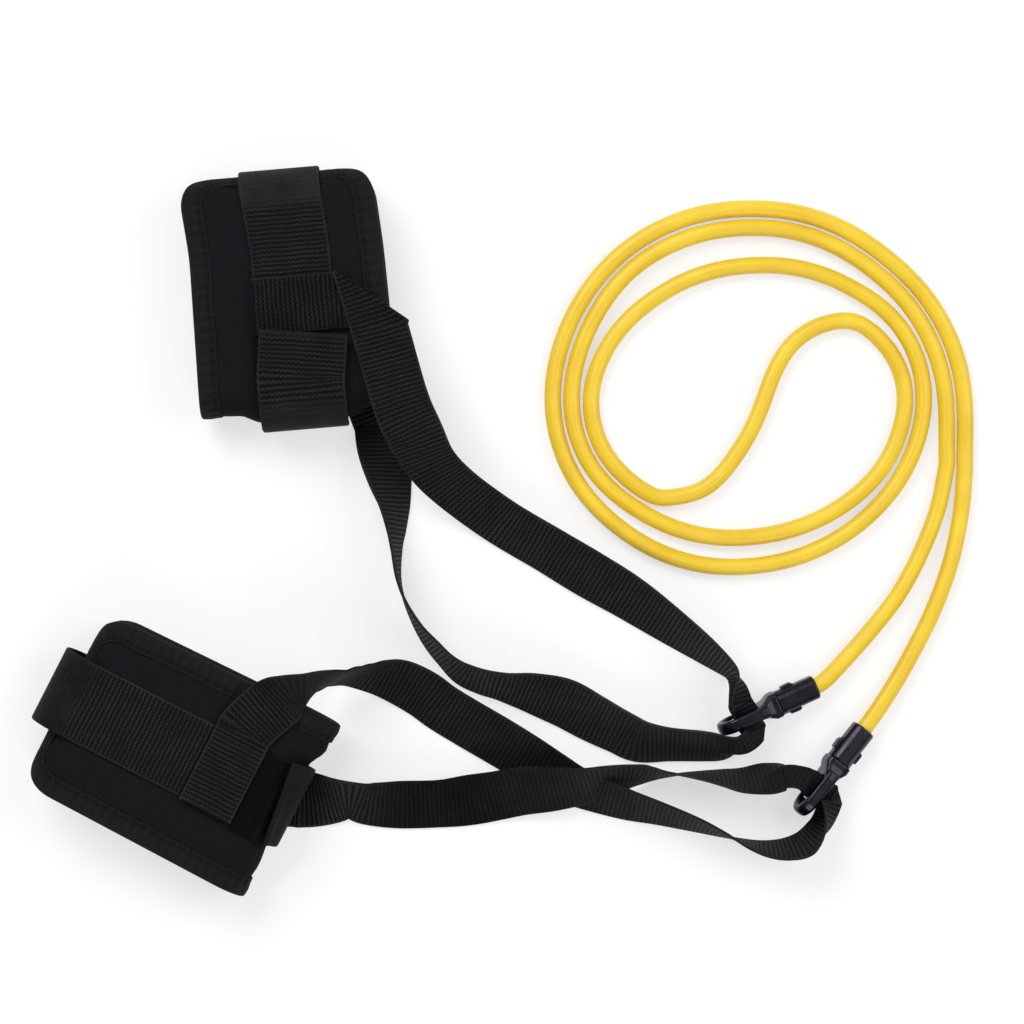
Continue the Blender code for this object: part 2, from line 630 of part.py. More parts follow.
def make_gate(number, matrix):
    """Gate: a bar with a hub on the pivot pin and a thin tongue that shuts between the nose prongs."""
    pivot = matrix @ Vector((GATE_PIVOT_ALONG, -GATE_PIVOT_DROP, 0))
    tip = NOSE_TIP - CLEARANCE
    name = f"gate_{number}"
    drop = BOW_RADIUS - CLEARANCE
    gate = bar(name, matrix, [
        (GATE_PIVOT_ALONG, -GATE_PIVOT_DROP, GATE_HALF_THICKNESS * 0.9, GATE_HALF_WIDTH),
        (BLOCK_END, -GATE_PIVOT_DROP - CLEARANCE, GATE_HALF_THICKNESS * 0.85, GATE_HALF_WIDTH),
        ((BLOCK_END + tip) / 2, -drop + CLEARANCE, GATE_HALF_THICKNESS, GATE_HALF_WIDTH),
        (tip - CLEARANCE, -drop, GATE_HALF_THICKNESS, GATE_HALF_WIDTH),
        (tip, -drop, GATE_HALF_THICKNESS * 0.85, GATE_HALF_WIDTH * 0.9),
    ], "hook_plastic", power=3.2, origin=pivot)
    hub_line = [(-GATE_HALF_WIDTH, GATE_HUB_RADIUS), (GATE_HALF_WIDTH, GATE_HUB_RADIUS)]
    hub = turned_piece("hub", matrix, hub_line,
                       (0, 0, 1), (GATE_PIVOT_ALONG, -GATE_PIVOT_DROP, 0), "hook_plastic")
    tongue_half = NOSE_SLOT_HALF_WIDTH - CLEARANCE
    tongue_end = NOSE_TIP + GATE_TONGUE_LENGTH
    tongue = bar("gate_tongue", matrix, [
        (tip - 4 * CLEARANCE, -drop, GATE_HALF_THICKNESS * 0.55, tongue_half),
        (tongue_end, -drop, GATE_HALF_THICKNESS * 0.55, tongue_half),
    ], "hook_plastic", power=4.0, count=8)
    cut_or_join(gate, [hub, tongue], "UNION")
    reach = GATE_HALF_WIDTH + CUT_OVERRUN
    hole_line = [(-reach, PIN_RADIUS + CLEARANCE), (reach, PIN_RADIUS + CLEARANCE)]
    hole = turned_piece("gate_hole", matrix, hole_line,
                        (0, 0, 1), (GATE_PIVOT_ALONG, -GATE_PIVOT_DROP, 0), "hook_plastic")
    cut_or_join(gate, [hole], "DIFFERENCE")
    return pivot


def make_pin(number, matrix):
    reach = BLOCK_HALF_WIDTH - CLEARANCE
    turned_piece(f"gate_pin_{number}", matrix, [(-reach, PIN_RADIUS), (reach, PIN_RADIUS)], (0, 0, 1),
                 (GATE_PIVOT_ALONG, -GATE_PIVOT_DROP, 0), "steel", count=12)


def add_tube(name, points, diameter, finish, sides_level):
    """Round cord along points, with closed ends."""
    curve = bpy.data.curves.new(name, "CURVE")
    curve.dimensions = "3D"
    curve.bevel_depth = diameter / 2
    curve.bevel_resolution = sides_level
    curve.use_fill_caps = True
    line = curve.splines.new("POLY")
    line.points.add(len(points) - 1)
    for spot, place in zip(line.points, points):
        spot.co = (*place, 1.0)
    curve.materials.append(material(finish))
    made = bpy.data.objects.new(name, curve)
    bpy.context.scene.collection.objects.link(made)
    return made


def least_gap(points, diameter, neighbours):
    """Least distance from a tube's wall to its own wall, measured on the points of its route."""
    least = float("inf")
    for k in range(len(points)):
        for j in range(k + neighbours, len(points) - 1):
            a, b = points[j], points[j + 1]
            span = b - a
            share = max(0.0, min(1.0, (points[k] - a).dot(span) / span.length_squared))
            least = min(least, (points[k] - a - span * share).length - diameter)
    return least


def make_spring(number, matrix):
    """Compression spring between the roof of its pocket and the gate's inner face."""
    roof = SPRING_POCKET_DROP - SPRING_WIRE / 2 - CLEARANCE
    foot = -GATE_PIVOT_DROP + GATE_HALF_THICKNESS * 0.9 + SPRING_WIRE / 2 + CLEARANCE
    steps = 8
    count = SPRING_TURNS * steps
    points = []
    for k in range(count + 1):
        turn = 2 * math.pi * k / steps
        drop = roof + (foot - roof) * k / count
        points.append(matrix @ Vector((SPRING_ALONG + SPRING_COIL_RADIUS * math.cos(turn), drop,
                                       SPRING_COIL_RADIUS * math.sin(turn))))
    print(f"gate_spring_{number} least gap mm", round(least_gap(points, SPRING_WIRE, steps // 2) * 1000, 3))
    add_tube(f"gate_spring_{number}", points, SPRING_WIRE, "steel", 1)


# Bridles

def gather_section(fold):
    """Section of the webbing as (across, outward, across normal, outward normal), bent by an angle."""
    half = BRIDLE_WIDTH / 2
    bend = GATHER_BEND_RADIUS * math.pi / 2
    section = []
    total = math.radians(fold) / 2
    half *= 1 - (1 - GATHER_SQUEEZE) * fold / GATHER_ANGLE
    for place in (-half, -bend, -bend / 2, 0.0, bend / 2, bend, half):
        share = max(-1.0, min(1.0, place / bend))
        angle = total * share
        if total < 1e-6:
            section.append((place, 0.0, 0.0, 1.0))
            continue
        radius = bend / total
        inside = bend * share
        x = radius * math.sin(inside / radius)
        y = radius * (1 - math.cos(inside / radius))
        past = abs(place) - abs(inside)
        x += math.copysign(past * math.cos(total), place) if past > 0 else 0.0
        y += past * math.sin(total) if past > 0 else 0.0
        section.append((x, y, -math.sin(angle), math.cos(angle)))
    shift = (max(s[1] for s in section) + min(s[1] for s in section)) / 2
    return [(x, y - shift, nx, ny) for x, y, nx, ny in section]


def webbing_ring(centre, across, normal, fold, stretch=1.0):
    """Closed ring of the webbing's section at one station."""
    upper = []
    lower = []
    for x, y, nx, ny in gather_section(fold):
        middle = centre + across * x * stretch + normal * y
        out = (across * nx + normal * ny) * WEBBING_THICKNESS / 2
        upper.append(middle + out)
        lower.append(middle - out)
    return upper + lower[::-1]


def ribbon_rings(stations, steps):
    """Rings along a free strand; a station is (centre, tilt, fold) and its directions where fixed."""
    centres = smooth([s[0] for s in stations], steps)
    tilts = smooth([s[1] for s in stations], steps)
    folds = smooth([s[2] for s in stations], steps)
    rings = []
    up = Vector((0, 0, 1))
    for k, centre in enumerate(centres):
        near = stations[k // steps]
        far = stations[min(len(stations) - 1, -(-k // steps))]
        fold = max(0.0, min(GATHER_ANGLE, folds[k]))
        if len(near) > 3 and len(far) > 3:
            rings.append(webbing_ring(centre, *near[3], fold))
            continue
        run = (centres[min(len(centres) - 1, k + 1)] - centres[max(0, k - 1)]).normalized()
        side = run.cross(up).normalized()
        tilt = math.radians(tilts[k])
        across = side * math.cos(tilt) + up * math.sin(tilt)
        across = (across - run * across.dot(run)).normalized()
        ring = webbing_ring(centre, across, run.cross(across), fold)
        lowest = min(p.z for p in ring)
        if lowest < 0.0:
            ring = [p - up * lowest for p in ring]
        rings.append(ring)
    return rings


def floor_station(pixel, tilt, fold=0.0, lift=0.0):
    """Station of a strand whose low edge is lift above the floor."""
    half = BRIDLE_WIDTH / 2 * abs(math.sin(math.radians(tilt))) * (1 - fold / 260)
    half += WEBBING_THICKNESS / 2 * abs(math.cos(math.radians(tilt)))
    return (lay(pixel, half + lift), tilt, fold)


def hook_stations(matrix, direction):
    """Stations where a strand passes through a hook's eye; the webbing is folded double there."""
    reach = HOOK_HALF_WIDTH + 2 * CLEARANCE
    drop = BOW_RADIUS - ARM_HALF_THICKNESS - CLEARANCE - GATHER_BEND_RADIUS - WEBBING_THICKNESS / 2
    turn = matrix.to_3x3()
    across = turn @ Vector((0, -direction, 0))
    normal = turn @ Vector((1, 0, 0))
    out = []
    for share, fold in GATHER_SHARES:
        place = matrix @ Vector((GATHER_ALONG, drop - abs(share) * GATHER_SAG, direction * share * reach))
        out.append((place, -90.0 * direction, fold, (across, normal)))
    return out


def crease_rings(frame, cuff):
    """Bridle 1 from its sewn end over the belt, folded over on a slanting crease."""
    height = PAD_BEND_RADIUS + PATCH_OFFSET + WEBBING_THICKNESS / 2
    turn = frame.to_3x3()
    half = BRIDLE_WIDTH / 2
    near, far = cuff["patch"] - half, cuff["patch"] + half
    lead = BRIDLE_WIDTH / math.tan(math.radians(CREASE_TURN / 2))
    up = Vector((0, 0, 1))
    along = turn @ Vector((1, 0, 0))
    rings = []
    for across in (-BELT_WIDTH / 2 - LOOP_STRIP_THICKNESS, 0.0, CREASE_START - CLEARANCE):
        rings.append(webbing_ring(frame @ Vector((cuff["patch"], across, height)), along, up, 0.0))
    corner_near = frame @ Vector((near, CREASE_START, height))
    corner_far = frame @ Vector((far, CREASE_START + lead, height))
    crease = (corner_far - corner_near).normalized()
    outward = crease.cross(up) * -1
    stretch = (corner_far - corner_near).length / BRIDLE_WIDTH
    middle = (corner_near + corner_far) / 2
    radius = LAYER_PITCH / 2
    for k in range(5):
        turn_angle = math.pi * k / 4
        centre = middle + outward * radius * math.sin(turn_angle) + up * radius * (1 - math.cos(turn_angle))
        normal = up * math.cos(turn_angle) - outward * math.sin(turn_angle)
        rings.append(webbing_ring(centre, crease, normal, 0.0, stretch))
    leave = turn @ Vector((math.sin(math.radians(CREASE_TURN)), math.cos(math.radians(CREASE_TURN)), 0))
    start = corner_far + up * LAYER_PITCH + leave * CLEARANCE - leave.cross(up) * -half
    return rings, start, leave


def rear_stations(frame, slope, across_at_fold, reach, tilt):
    """Flat stretch of a bridle sewn under its cuff, from the fold's edge to its sewn end."""
    height = WEBBING_THICKNESS / 2 - CUFF_AXIS_HEIGHT
    edge = PAD_STRAIGHT + PAD_BEND_RADIUS
    out = []
    for share in (-0.1, 0.0, 0.5, 1.0):
        along = edge - reach * share
        across = across_at_fold - math.tan(math.radians(slope)) * reach * share
        out.append((frame @ Vector((along, across, height)), tilt, 0.0))
    return out


STRAND_STEPS = 2
BRIDLE_1_DOWN = (
    ((401, 400), 0.0412, 180), ((414.5, 432), 0.0375, 176), ((430, 462), 0.0285, 152),
    ((455, 488), 0.0190, 146), ((500, 521), 0.0105, 146), ((548, 549.5), 0.0095, 146),
    ((588, 573.5), 0.0095, 148), ((629.5, 598), 0.0100, 142), ((673.5, 628), 0.0123, 129),
    ((709, 653.5), 0.0140, 116), ((731, 672), 0.0150, 104),
)
BRIDLE_1_BACK = (
    ((743, 746), 78, 70), ((727, 749.5), 64, 20), ((705, 746.5), 56, 0), ((668, 744.5), 51, 0),
    ((638.5, 741), 39, 0), ((618, 731.5), 37, 0), ((592.5, 718.5), 31, 0), ((563.5, 703), 29, 0),
    ((531, 692.5), 44, 0),
    ((504, 687), 58, 0), ((482.5, 682), 62, 0), ((463, 674), 65, 0), ((446.5, 661), 72, 0),
    ((432, 645), 75, 0), ((418.5, 627), 81, 0), ((405.5, 602), 87, 0), ((398.5, 578), 92, 0),
    ((396.5, 549), 99, 0), ((396, 529), 108, 0), ((394, 505), 121, 0), ((389, 480), 138, 0),
    ((384, 450), 160, 0),
)
BRIDLE_2_OUT = (
    ((261, 712), 0.0400, -3), ((275, 700), 0.0412, -9), ((286, 692), 0.0434, -16),
    ((299, 688), 0.0456, -24), ((309, 686.5), 0.0466, -31), ((321, 684), 0.0440, -48),
    ((331, 681), 0.0372, -67), ((342, 678.5), 0.0275, -80), ((357, 677), 0.0195, -72),
    ((377, 678), 0.0132, -50), ((400, 684), 0.0100, -35),
)
BRIDLE_2_FLOOR = (
    ((422, 694), -29), ((441.5, 708), -29), ((463.5, 721.5), -29), ((497, 741), -29), ((527, 759), -31),
    ((556, 776.5), -36), ((581.5, 789), -44), ((624.5, 804), -54), ((657.5, 813), -63), ((697, 825), -73),
    ((724.5, 835), -83), ((748, 844), -94), ((768, 849), -102), ((788, 849), -108), ((806, 843), -112),
)
BRIDLE_2_BACK = (
    ((787, 772.5), -66, 60, 0.0030), ((768, 777.5), -60, 12, 0.0010), ((743.5, 780.5), -68, 0, 0.0),
    ((722, 778), -77, 0, 0.0), ((704.5, 776), -84, 0, 0.0), ((682, 774.5), -92, 0, 0.0),
    ((662.5, 774.5), -100, 0, 0.0), ((646, 775), -110, 0, 0.0015), ((630, 776.5), -117, 0, 0.0040),
    ((606, 780), -124, 0, 0.0065), ((584, 785), -132, 0, 0.0070), ((555.5, 788.5), -142, 0, 0.0060),
    ((524.5, 791), -151, 0, 0.0035), ((496.5, 796.5), -153, 0, 0.0010), ((469.5, 801), -156, 0, 0.0),
    ((439, 804.5), -150, 0, 0.0), ((401, 805.5), -150, 0, 0.0), ((370, 804.5), -142, 0, 0.0),
    ((343, 800), -136, 0, 0.0),
)
HOOK_APPROACH_1 = ((737, 686), 0.0148, 92.0, 60.0)
HOOK_APPROACH_2 = ((825, 826), 0.0135, -104.0, 60.0)
REAR_REACH = 0.0600
REAR_SLOPE_1, REAR_ACROSS_1 = 15.0, 0.0375
REAR_SLOPE_2, REAR_ACROSS_2 = 24.0, 0.0015
PATCH_LEAD = LOOP_STRIP_WIDTH / 9


def make_bridle_1(frame, matrix):
    rings, start, leave = crease_rings(frame, CUFFS[1])
    down = [(start, 180.0, 0.0)]
    down += [(lay(p, z), tilt, 0.0) for p, z, tilt in BRIDLE_1_DOWN]
    spot, height, tilt, fold = HOOK_APPROACH_1
    down.append((lay(spot, height), tilt, fold))
    eye = hook_stations(matrix, -1)
    back = [floor_station(p, tilt, fold, fold * GATHER_LIFT) for p, tilt, fold in BRIDLE_1_BACK]
    rear = rear_stations(frame, REAR_SLOPE_1, REAR_ACROSS_1, REAR_REACH, 180.0)
    rings += ribbon_rings(down + eye + back + rear, STRAND_STEPS)
    add_mesh("bridle_1", *loft(rings), "webbing")


def make_bridle_2(frame, matrix):
    cuff = CUFFS[2]
    patch_height = PAD_BEND_RADIUS + PATCH_OFFSET + WEBBING_THICKNESS / 2
    edge = BELT_WIDTH / 2
    stations = []
    for across in (-edge - LOOP_STRIP_THICKNESS, 0.0, edge, edge + PATCH_LEAD):
        stations.append((frame @ Vector((cuff["patch"], across, patch_height)), 0.0, 0.0))
    stations += [(lay(p, z), tilt, 0.0) for p, z, tilt in BRIDLE_2_OUT]
    stations += [floor_station(p, tilt) for p, tilt in BRIDLE_2_FLOOR]
    spot, height, tilt, fold = HOOK_APPROACH_2
    stations.append((lay(spot, height), tilt, fold))
    stations += hook_stations(matrix, 1)
    stations += [floor_station(*row) for row in BRIDLE_2_BACK]
    stations += rear_stations(frame, REAR_SLOPE_2, REAR_ACROSS_2, REAR_REACH, -180.0)
    add_mesh("bridle_2", *loft(ribbon_rings(stations, STRAND_STEPS)), "webbing")


# Latex tube: two arms spiral out from an S in the middle of the coil

COIL_RADIUS_STEP = 22.5
ARM_A_START = 0.0
ARM_A_RADII_PX = (
    154.5, 153.5, 147.5, 143.5, 145, 153, 164, 178, 180, 174.5, 172, 167.5, 165.5, 168.5, 173.3, 184.6,
    195, 206.2,
)
ARM_B_START = 225.0
ARM_B_RADII_PX = (
    144, 159, 160, 148, 135, 128.5, 127.5, 134.3, 146.5, 164.5, 173.4, 173.3, 171, 171, 174.3, 182,
    189.5, 198, 199,
    194.5, 191, 187, 184.5, 187.5, 192, 203.4, 213.9, 225.2,
)
ARM_A_TURN = 375.0
ARM_B_TURN = 600.0
S_ROUTE_PX = ((671, 497), (700, 491), (722, 474), (740, 450), (757, 420), (770, 385), (782, 359), (798, 339),
              (820, 325.5), (845, 320), (868, 327), (894, 354.5))
TAIL_1_ROUTE_PX = ((945.8, 480), (939.5, 509), (926, 545), (907.7, 582), (884.7, 617), (854.5, 651))
TAIL_2_ROUTE_PX = ((965.8, 484), (963, 512), (954.5, 555), (939.5, 600), (918.3, 646), (893.5, 690))


def arm_points(start, turn, radii):
    """Points of one arm of the coil, clockwise, at even steps of angle."""
    step = 360 / COIL_POINTS_PER_TURN
    count = int(turn // step)
    points = []
    for k in range(count + 1):
        angle = turn * k / count
        span = angle / COIL_RADIUS_STEP
        index = min(int(span), len(radii) - 2)
        before = radii[max(0, index - 1)]
        after = radii[min(len(radii) - 1, index + 2)]
        radius = catmull_rom(before, radii[index], radii[index + 1], after, span - index)
        place = math.radians(start - angle)
        points.append(lay((COIL_CENTRE_PX[0] + radius * math.cos(place),
                           COIL_CENTRE_PX[1] - radius * math.sin(place)), TUBE_REST_HEIGHT))
    return points


def tail_points(route, coil_end, coil_before, matrix):
    """One free end of the tube, from the coil to its grip inside a hook's sleeve."""
    run = (coil_end - coil_before).normalized()
    start = coil_end + run * CLEARANCE
    grip = matrix @ Vector((TUBE_GRIP_END, 0, 0))
    mouth = matrix @ Vector((0, 0, 0))
    straight = matrix @ Vector((-TUBE_DIAMETER * 0.6, 0, 0))
    places = [start, start + run * TUBE_DIAMETER] + [lay(p, TUBE_REST_HEIGHT) for p in route]
    rise = straight.z - TUBE_REST_HEIGHT
    places[-1] = places[-1] + Vector((0, 0, rise * 0.2))
    points = places[:1] + smooth(places[1:] + [straight, mouth], 2)
    points = [Vector((p.x, p.y, max(p.z, TUBE_REST_HEIGHT))) for p in points]
    return points + [grip]


def make_tube(matrices):
    arm_a = arm_points(ARM_A_START, ARM_A_TURN, ARM_A_RADII_PX)
    arm_b = arm_points(ARM_B_START, ARM_B_TURN, ARM_B_RADII_PX)
    middle = [lay(p, TUBE_REST_HEIGHT) for p in S_ROUTE_PX]
    middle = smooth([arm_b[0]] + middle + [arm_a[0]], 1)[1:-1]
    coil = arm_b[::-1] + middle + arm_a
    add_tube("tube_coil", coil, TUBE_DIAMETER, "latex", 1)
    tails = {
        1: tail_points(TAIL_1_ROUTE_PX, arm_a[-1], arm_a[-2], matrices[1]),
        2: tail_points(TAIL_2_ROUTE_PX, arm_b[-1], arm_b[-2], matrices[2]),
    }
    whole = tails[2][::-1] + coil + tails[1]
    length = sum((b - a).length for a, b in zip(whole, whole[1:]))
    gap = least_gap(coil, TUBE_DIAMETER, 6)
    print("tube length m", round(length, 4), "least gap mm", round(gap * 1000, 3))
    for number, points in tails.items():
        tail = add_tube(f"tube_tail_{number}", points, TUBE_DIAMETER, "latex", 2)
        matrix = matrices[number]
        graph = bpy.context.evaluated_depsgraph_get()
        solid = bpy.data.meshes.new_from_object(tail.evaluated_get(graph))
        bpy.data.objects.remove(tail, do_unlink=True)
        made = bpy.data.objects.new(f"tube_tail_{number}", solid)
        bpy.context.scene.collection.objects.link(made)
        bore = turned_piece("tube_bore", matrix, [
            (SPIGOT_TIP - TUBE_BORE / 2, TUBE_BORE / 2), (TUBE_GRIP_END + CUT_OVERRUN, TUBE_BORE / 2),
        ], (1, 0, 0), (0, 0, 0), "latex", count=12)
        cut_or_join(made, [bore], "DIFFERENCE")
        made.data.materials.clear()
        made.data.materials.append(material("latex"))


def main():
    clear_scene()
    matrices = {}
    for number, hook in HOOKS.items():
        matrix = hook_matrix(hook)
        matrices[number] = matrix
        make_hook_frame(number, matrix)
        make_sleeve(number, matrix)
        pivot = make_gate(number, matrix)
        make_pin(number, matrix)
        make_spring(number, matrix)
        axis = matrix.to_3x3() @ Vector((0, 0, 1))
        place, turn = [[round(c, 6) for c in v] for v in (pivot, axis)]
        print("gate", number, "pivot", place, "axis", turn)
    frames = {}
    for number, cuff in CUFFS.items():
        frame = cuff_matrix(cuff)
        frames[number] = frame
        make_pad(number, frame)
        make_binding(number, frame)
        make_belt(number, cuff, frame)
        point = make_closure(number, cuff, frame)
        axis = frame.to_3x3() @ Vector((0, 1, 0))
        place, turn = [[round(c, 6) for c in v] for v in (point, axis)]
        print("tongue", number, "point", place, "axis", turn)
    make_bridle_1(frames[1], matrices[1])
    make_bridle_2(frames[2], matrices[2])
    make_tube(matrices)


main()
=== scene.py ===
import math
import bpy
import bmesh
from mathutils import Matrix, Vector, noise


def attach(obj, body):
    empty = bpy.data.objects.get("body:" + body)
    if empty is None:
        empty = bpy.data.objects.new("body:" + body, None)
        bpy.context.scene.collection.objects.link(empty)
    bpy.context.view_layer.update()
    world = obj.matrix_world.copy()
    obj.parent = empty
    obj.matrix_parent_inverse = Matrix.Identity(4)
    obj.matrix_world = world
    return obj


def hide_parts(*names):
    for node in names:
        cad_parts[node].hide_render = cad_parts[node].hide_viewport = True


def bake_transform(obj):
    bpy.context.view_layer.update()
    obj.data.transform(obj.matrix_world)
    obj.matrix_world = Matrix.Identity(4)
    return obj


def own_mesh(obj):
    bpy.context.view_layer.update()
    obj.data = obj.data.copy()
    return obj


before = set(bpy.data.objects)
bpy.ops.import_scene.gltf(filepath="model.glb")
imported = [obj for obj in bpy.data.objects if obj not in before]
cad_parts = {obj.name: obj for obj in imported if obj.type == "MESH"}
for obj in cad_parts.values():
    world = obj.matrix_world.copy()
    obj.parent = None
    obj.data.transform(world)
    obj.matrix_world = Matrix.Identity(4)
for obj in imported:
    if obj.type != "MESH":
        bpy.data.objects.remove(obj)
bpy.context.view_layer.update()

# Camera straight above the tether, with a long lens, as in the photograph.
# Places on the floor are written as pixels of the photograph, each 0.525 mm.
PIXEL = 0.000525
ORIGIN_PX = (453.66, 530.66)
PHOTO_WIDTH_PX = 1024
CAMERA_HEIGHT = 2.2
FOCUS_HEIGHT = 0.014


def lay(pixel, height=0.0):
    return Vector(((pixel[0] - ORIGIN_PX[0]) * PIXEL, (ORIGIN_PX[1] - pixel[1]) * PIXEL, height))


def new_object(name, data):
    """An object for a mesh, lamp or camera, in the scene."""
    made = bpy.data.objects.new(name, data)
    bpy.context.scene.collection.objects.link(made)
    return made


camera_data = bpy.data.cameras.new("camera")
camera_data.sensor_width = 36
camera_data.lens = 36 * (CAMERA_HEIGHT - FOCUS_HEIGHT) / (PHOTO_WIDTH_PX * PIXEL)
camera = new_object("camera", camera_data)
camera.location = lay((PHOTO_WIDTH_PX / 2, PHOTO_WIDTH_PX / 2), CAMERA_HEIGHT)
bpy.context.scene.camera = camera
bpy.context.scene.view_settings.view_transform = "Standard"


# Latex tube, one length from hook to hook, laid in a flat double coil with an S in the middle.
# Natural rubber, extruded and dusted, so it is smooth and half matt with faint lines along it,
# and its wall glows a little where the light goes into it.
TUBE_DIAMETER = 0.0088
TUBE_REST_HEIGHT = TUBE_DIAMETER / 2
TUBE_SIDES = 28
TUBE_STEPS = 5
TUBE_CLEARANCE = 0.0003
COIL_CENTRE_PX = (752.0, 392.0)
COIL_POINTS_PER_TURN = 24
COIL_RADIUS_STEP = 22.5
ARM_A_START = 0.0
ARM_A_TURN = 375.0
ARM_A_RADII_PX = (154.5, 153.5, 147.5, 143.5, 145, 153, 164, 178, 180, 174.5, 172, 167.5, 165.5, 168.5, 173.3, 184.6,
                  195, 206.2)
ARM_B_START = 225.0
ARM_B_TURN = 600.0
ARM_B_RADII_PX = (144, 159, 160, 148, 135, 128.5, 127.5, 134.3, 146.5, 164.5, 173.4, 173.3, 171, 171, 174.3, 182,
                  189.5, 198, 199, 194.5, 191, 187, 184.5, 187.5, 192, 203.4, 213.9, 225.2)
S_ROUTE_PX = ((671, 497), (700, 491), (722, 474), (740, 450), (757, 420), (770, 385), (782, 359), (798, 339),
              (820, 325.5), (845, 320), (868, 327), (894, 354.5))
TAIL_ROUTES_PX = {
    1: ((945.8, 480), (939.5, 509), (926, 545), (907.7, 582), (884.7, 617), (854.5, 651)),
    2: ((965.8, 484), (963, 512), (954.5, 555), (939.5, 600), (918.3, 646), (893.5, 690)),
}
HOOKS = {
    1: {"mouth_px": (816.6, 686.8), "heading": -155.7, "roll": 84.0, "height": 0.0069},
    2: {"mouth_px": (865.0, 729.5), "heading": -128.5, "roll": 78.0, "height": 0.0069},
}
HOOK_SLOPE = 4.9
TUBE_GRIP_END = 0.0205
TAIL_LEAD = TUBE_DIAMETER * 0.6
TAIL_RISE = 0.2
KINK_ROUNDS = 45
KINK_PULLS = (0.5, -0.51)
SLEEVE_BEND_ROUNDS = 60
SLEEVE_HOLD_POINTS = 6
SLEEVE_BEND_POINTS = 34
SHARP_EDGE = 60


def linear_colour(code):
    """Linear colour of an sRGB hex value."""
    parts = [int(code[k:k + 2], 16) / 255 for k in (0, 2, 4)]
    return (*[c / 12.92 if c <= 0.04045 else ((c + 0.055) / 1.055) ** 2.4 for c in parts], 1.0)


def add_node(tree, kind, inputs=None, **settings):
    """Add a node; each input is a value or another node's output."""
    node = tree.nodes.new(kind)
    for key, value in settings.items():
        setattr(node, key, value)
    for key, value in (inputs or {}).items():
        if isinstance(value, bpy.types.NodeSocket):
            tree.links.new(value, node.inputs[key])
        else:
            node.inputs[key].default_value = value
    return node


def maths(tree, operation, *values):
    return add_node(tree, "ShaderNodeMath", dict(enumerate(values)), operation=operation).outputs[0]


def ranged(tree, value, low, high, start=0.0, end=1.0):
    """The value's range from start to end drawn out or in to low to high."""
    return add_node(tree, "ShaderNodeMapRange", {0: value, 1: start, 2: end, 3: low, 4: high}).outputs[0]


def wave(tree, operation, place, pitch):
    return maths(tree, operation, maths(tree, "MULTIPLY", place, 2 * math.pi / pitch))


def speckle(tree, place, scale, detail):
    return add_node(tree, "ShaderNodeTexNoise", {"Vector": place, "Scale": scale, "Detail": detail}).outputs[0]


def blended(tree, share, low, high):
    """Colour between two, each an sRGB hex value or another node's output."""
    ends = {key: linear_colour(end) if isinstance(end, str) else end for key, end in ((6, low), (7, high))}
    return add_node(tree, "ShaderNodeMix", {0: share, **ends}, data_type="RGBA").outputs[2]


def relief(tree, height, strength, distance, **below):
    inputs = {"Height": height, "Strength": strength, "Distance": distance, **below}
    return add_node(tree, "ShaderNodeBump", inputs).outputs[0]


def surface_place(tree):
    """Place on the unrolled surface in millimetres, from its UV map."""
    return add_node(tree, "ShaderNodeUVMap", uv_map="lay").outputs[0]


def object_place(tree):
    return add_node(tree, "ShaderNodeTexCoord").outputs["Object"]


def new_material(name, roughness, specular=0.5):
    """A Principled material, its tree, and a function that gives inputs of its shader values or nodes' outputs."""
    made = bpy.data.materials.new(name)
    made.use_nodes = True
    shader = made.node_tree.nodes["Principled BSDF"]

    def give(**inputs):
        for key, value in inputs.items():
            socket = shader.inputs[key.replace("_", " ")]
            if isinstance(value, bpy.types.NodeSocket):
                made.node_tree.links.new(value, socket)
            else:
                socket.default_value = value

    give(Roughness=roughness, Specular_IOR_Level=specular)
    return made, made.node_tree, give


def hook_matrix(hook):
    """Hook frame: X from the sleeve's mouth to the nose, Y to the spine's side, Z across."""
    turn = math.radians(hook["heading"])
    pitch = math.radians(HOOK_SLOPE)
    roll = math.radians(hook["roll"])
    along = Vector((math.cos(turn) * math.cos(pitch), math.sin(turn) * math.cos(pitch), math.sin(pitch)))
    level = Vector((0, 0, 1)).cross(along).normalized()
    spine = (level * math.cos(roll) + along.cross(level) * math.sin(roll)).normalized()
    turned = Matrix((along, spine, along.cross(spine))).transposed().to_4x4()
    return Matrix.Translation(lay(hook["mouth_px"], hook["height"])) @ turned


def catmull_rom(before, start, end, after, share):
    return 0.5 * (2 * start + (end - before) * share
                  + (2 * before - 5 * start + 4 * end - after) * share ** 2
                  + (3 * start - before - 3 * end + after) * share ** 3)


def smooth(values, steps):
    """Curve through all values with a number of steps to each span."""
    last = len(values) - 1
    out = []
    for k in range(last):
        before = values[k - 1] if k else 2 * values[0] - values[1]
        after = values[k + 2] if k + 2 <= last else 2 * values[last] - values[last - 1]
        for j in range(steps):
            out.append(catmull_rom(before, values[k], values[k + 1], after, j / steps))
    out.append(values[last])
    return out


def arm_points(start, turn, radii):
    """Points of one arm of the coil, clockwise, at even steps of angle."""
    count = int(turn // (360 / COIL_POINTS_PER_TURN))
    points = []
    for k in range(count + 1):
        angle = turn * k / count
        span = angle / COIL_RADIUS_STEP
        index = min(int(span), len(radii) - 2)
        before = radii[max(0, index - 1)]
        after = radii[min(len(radii) - 1, index + 2)]
        radius = catmull_rom(before, radii[index], radii[index + 1], after, span - index)
        place = math.radians(start - angle)
        points.append(lay((COIL_CENTRE_PX[0] + radius * math.cos(place),
                           COIL_CENTRE_PX[1] - radius * math.sin(place)), TUBE_REST_HEIGHT))
    return points


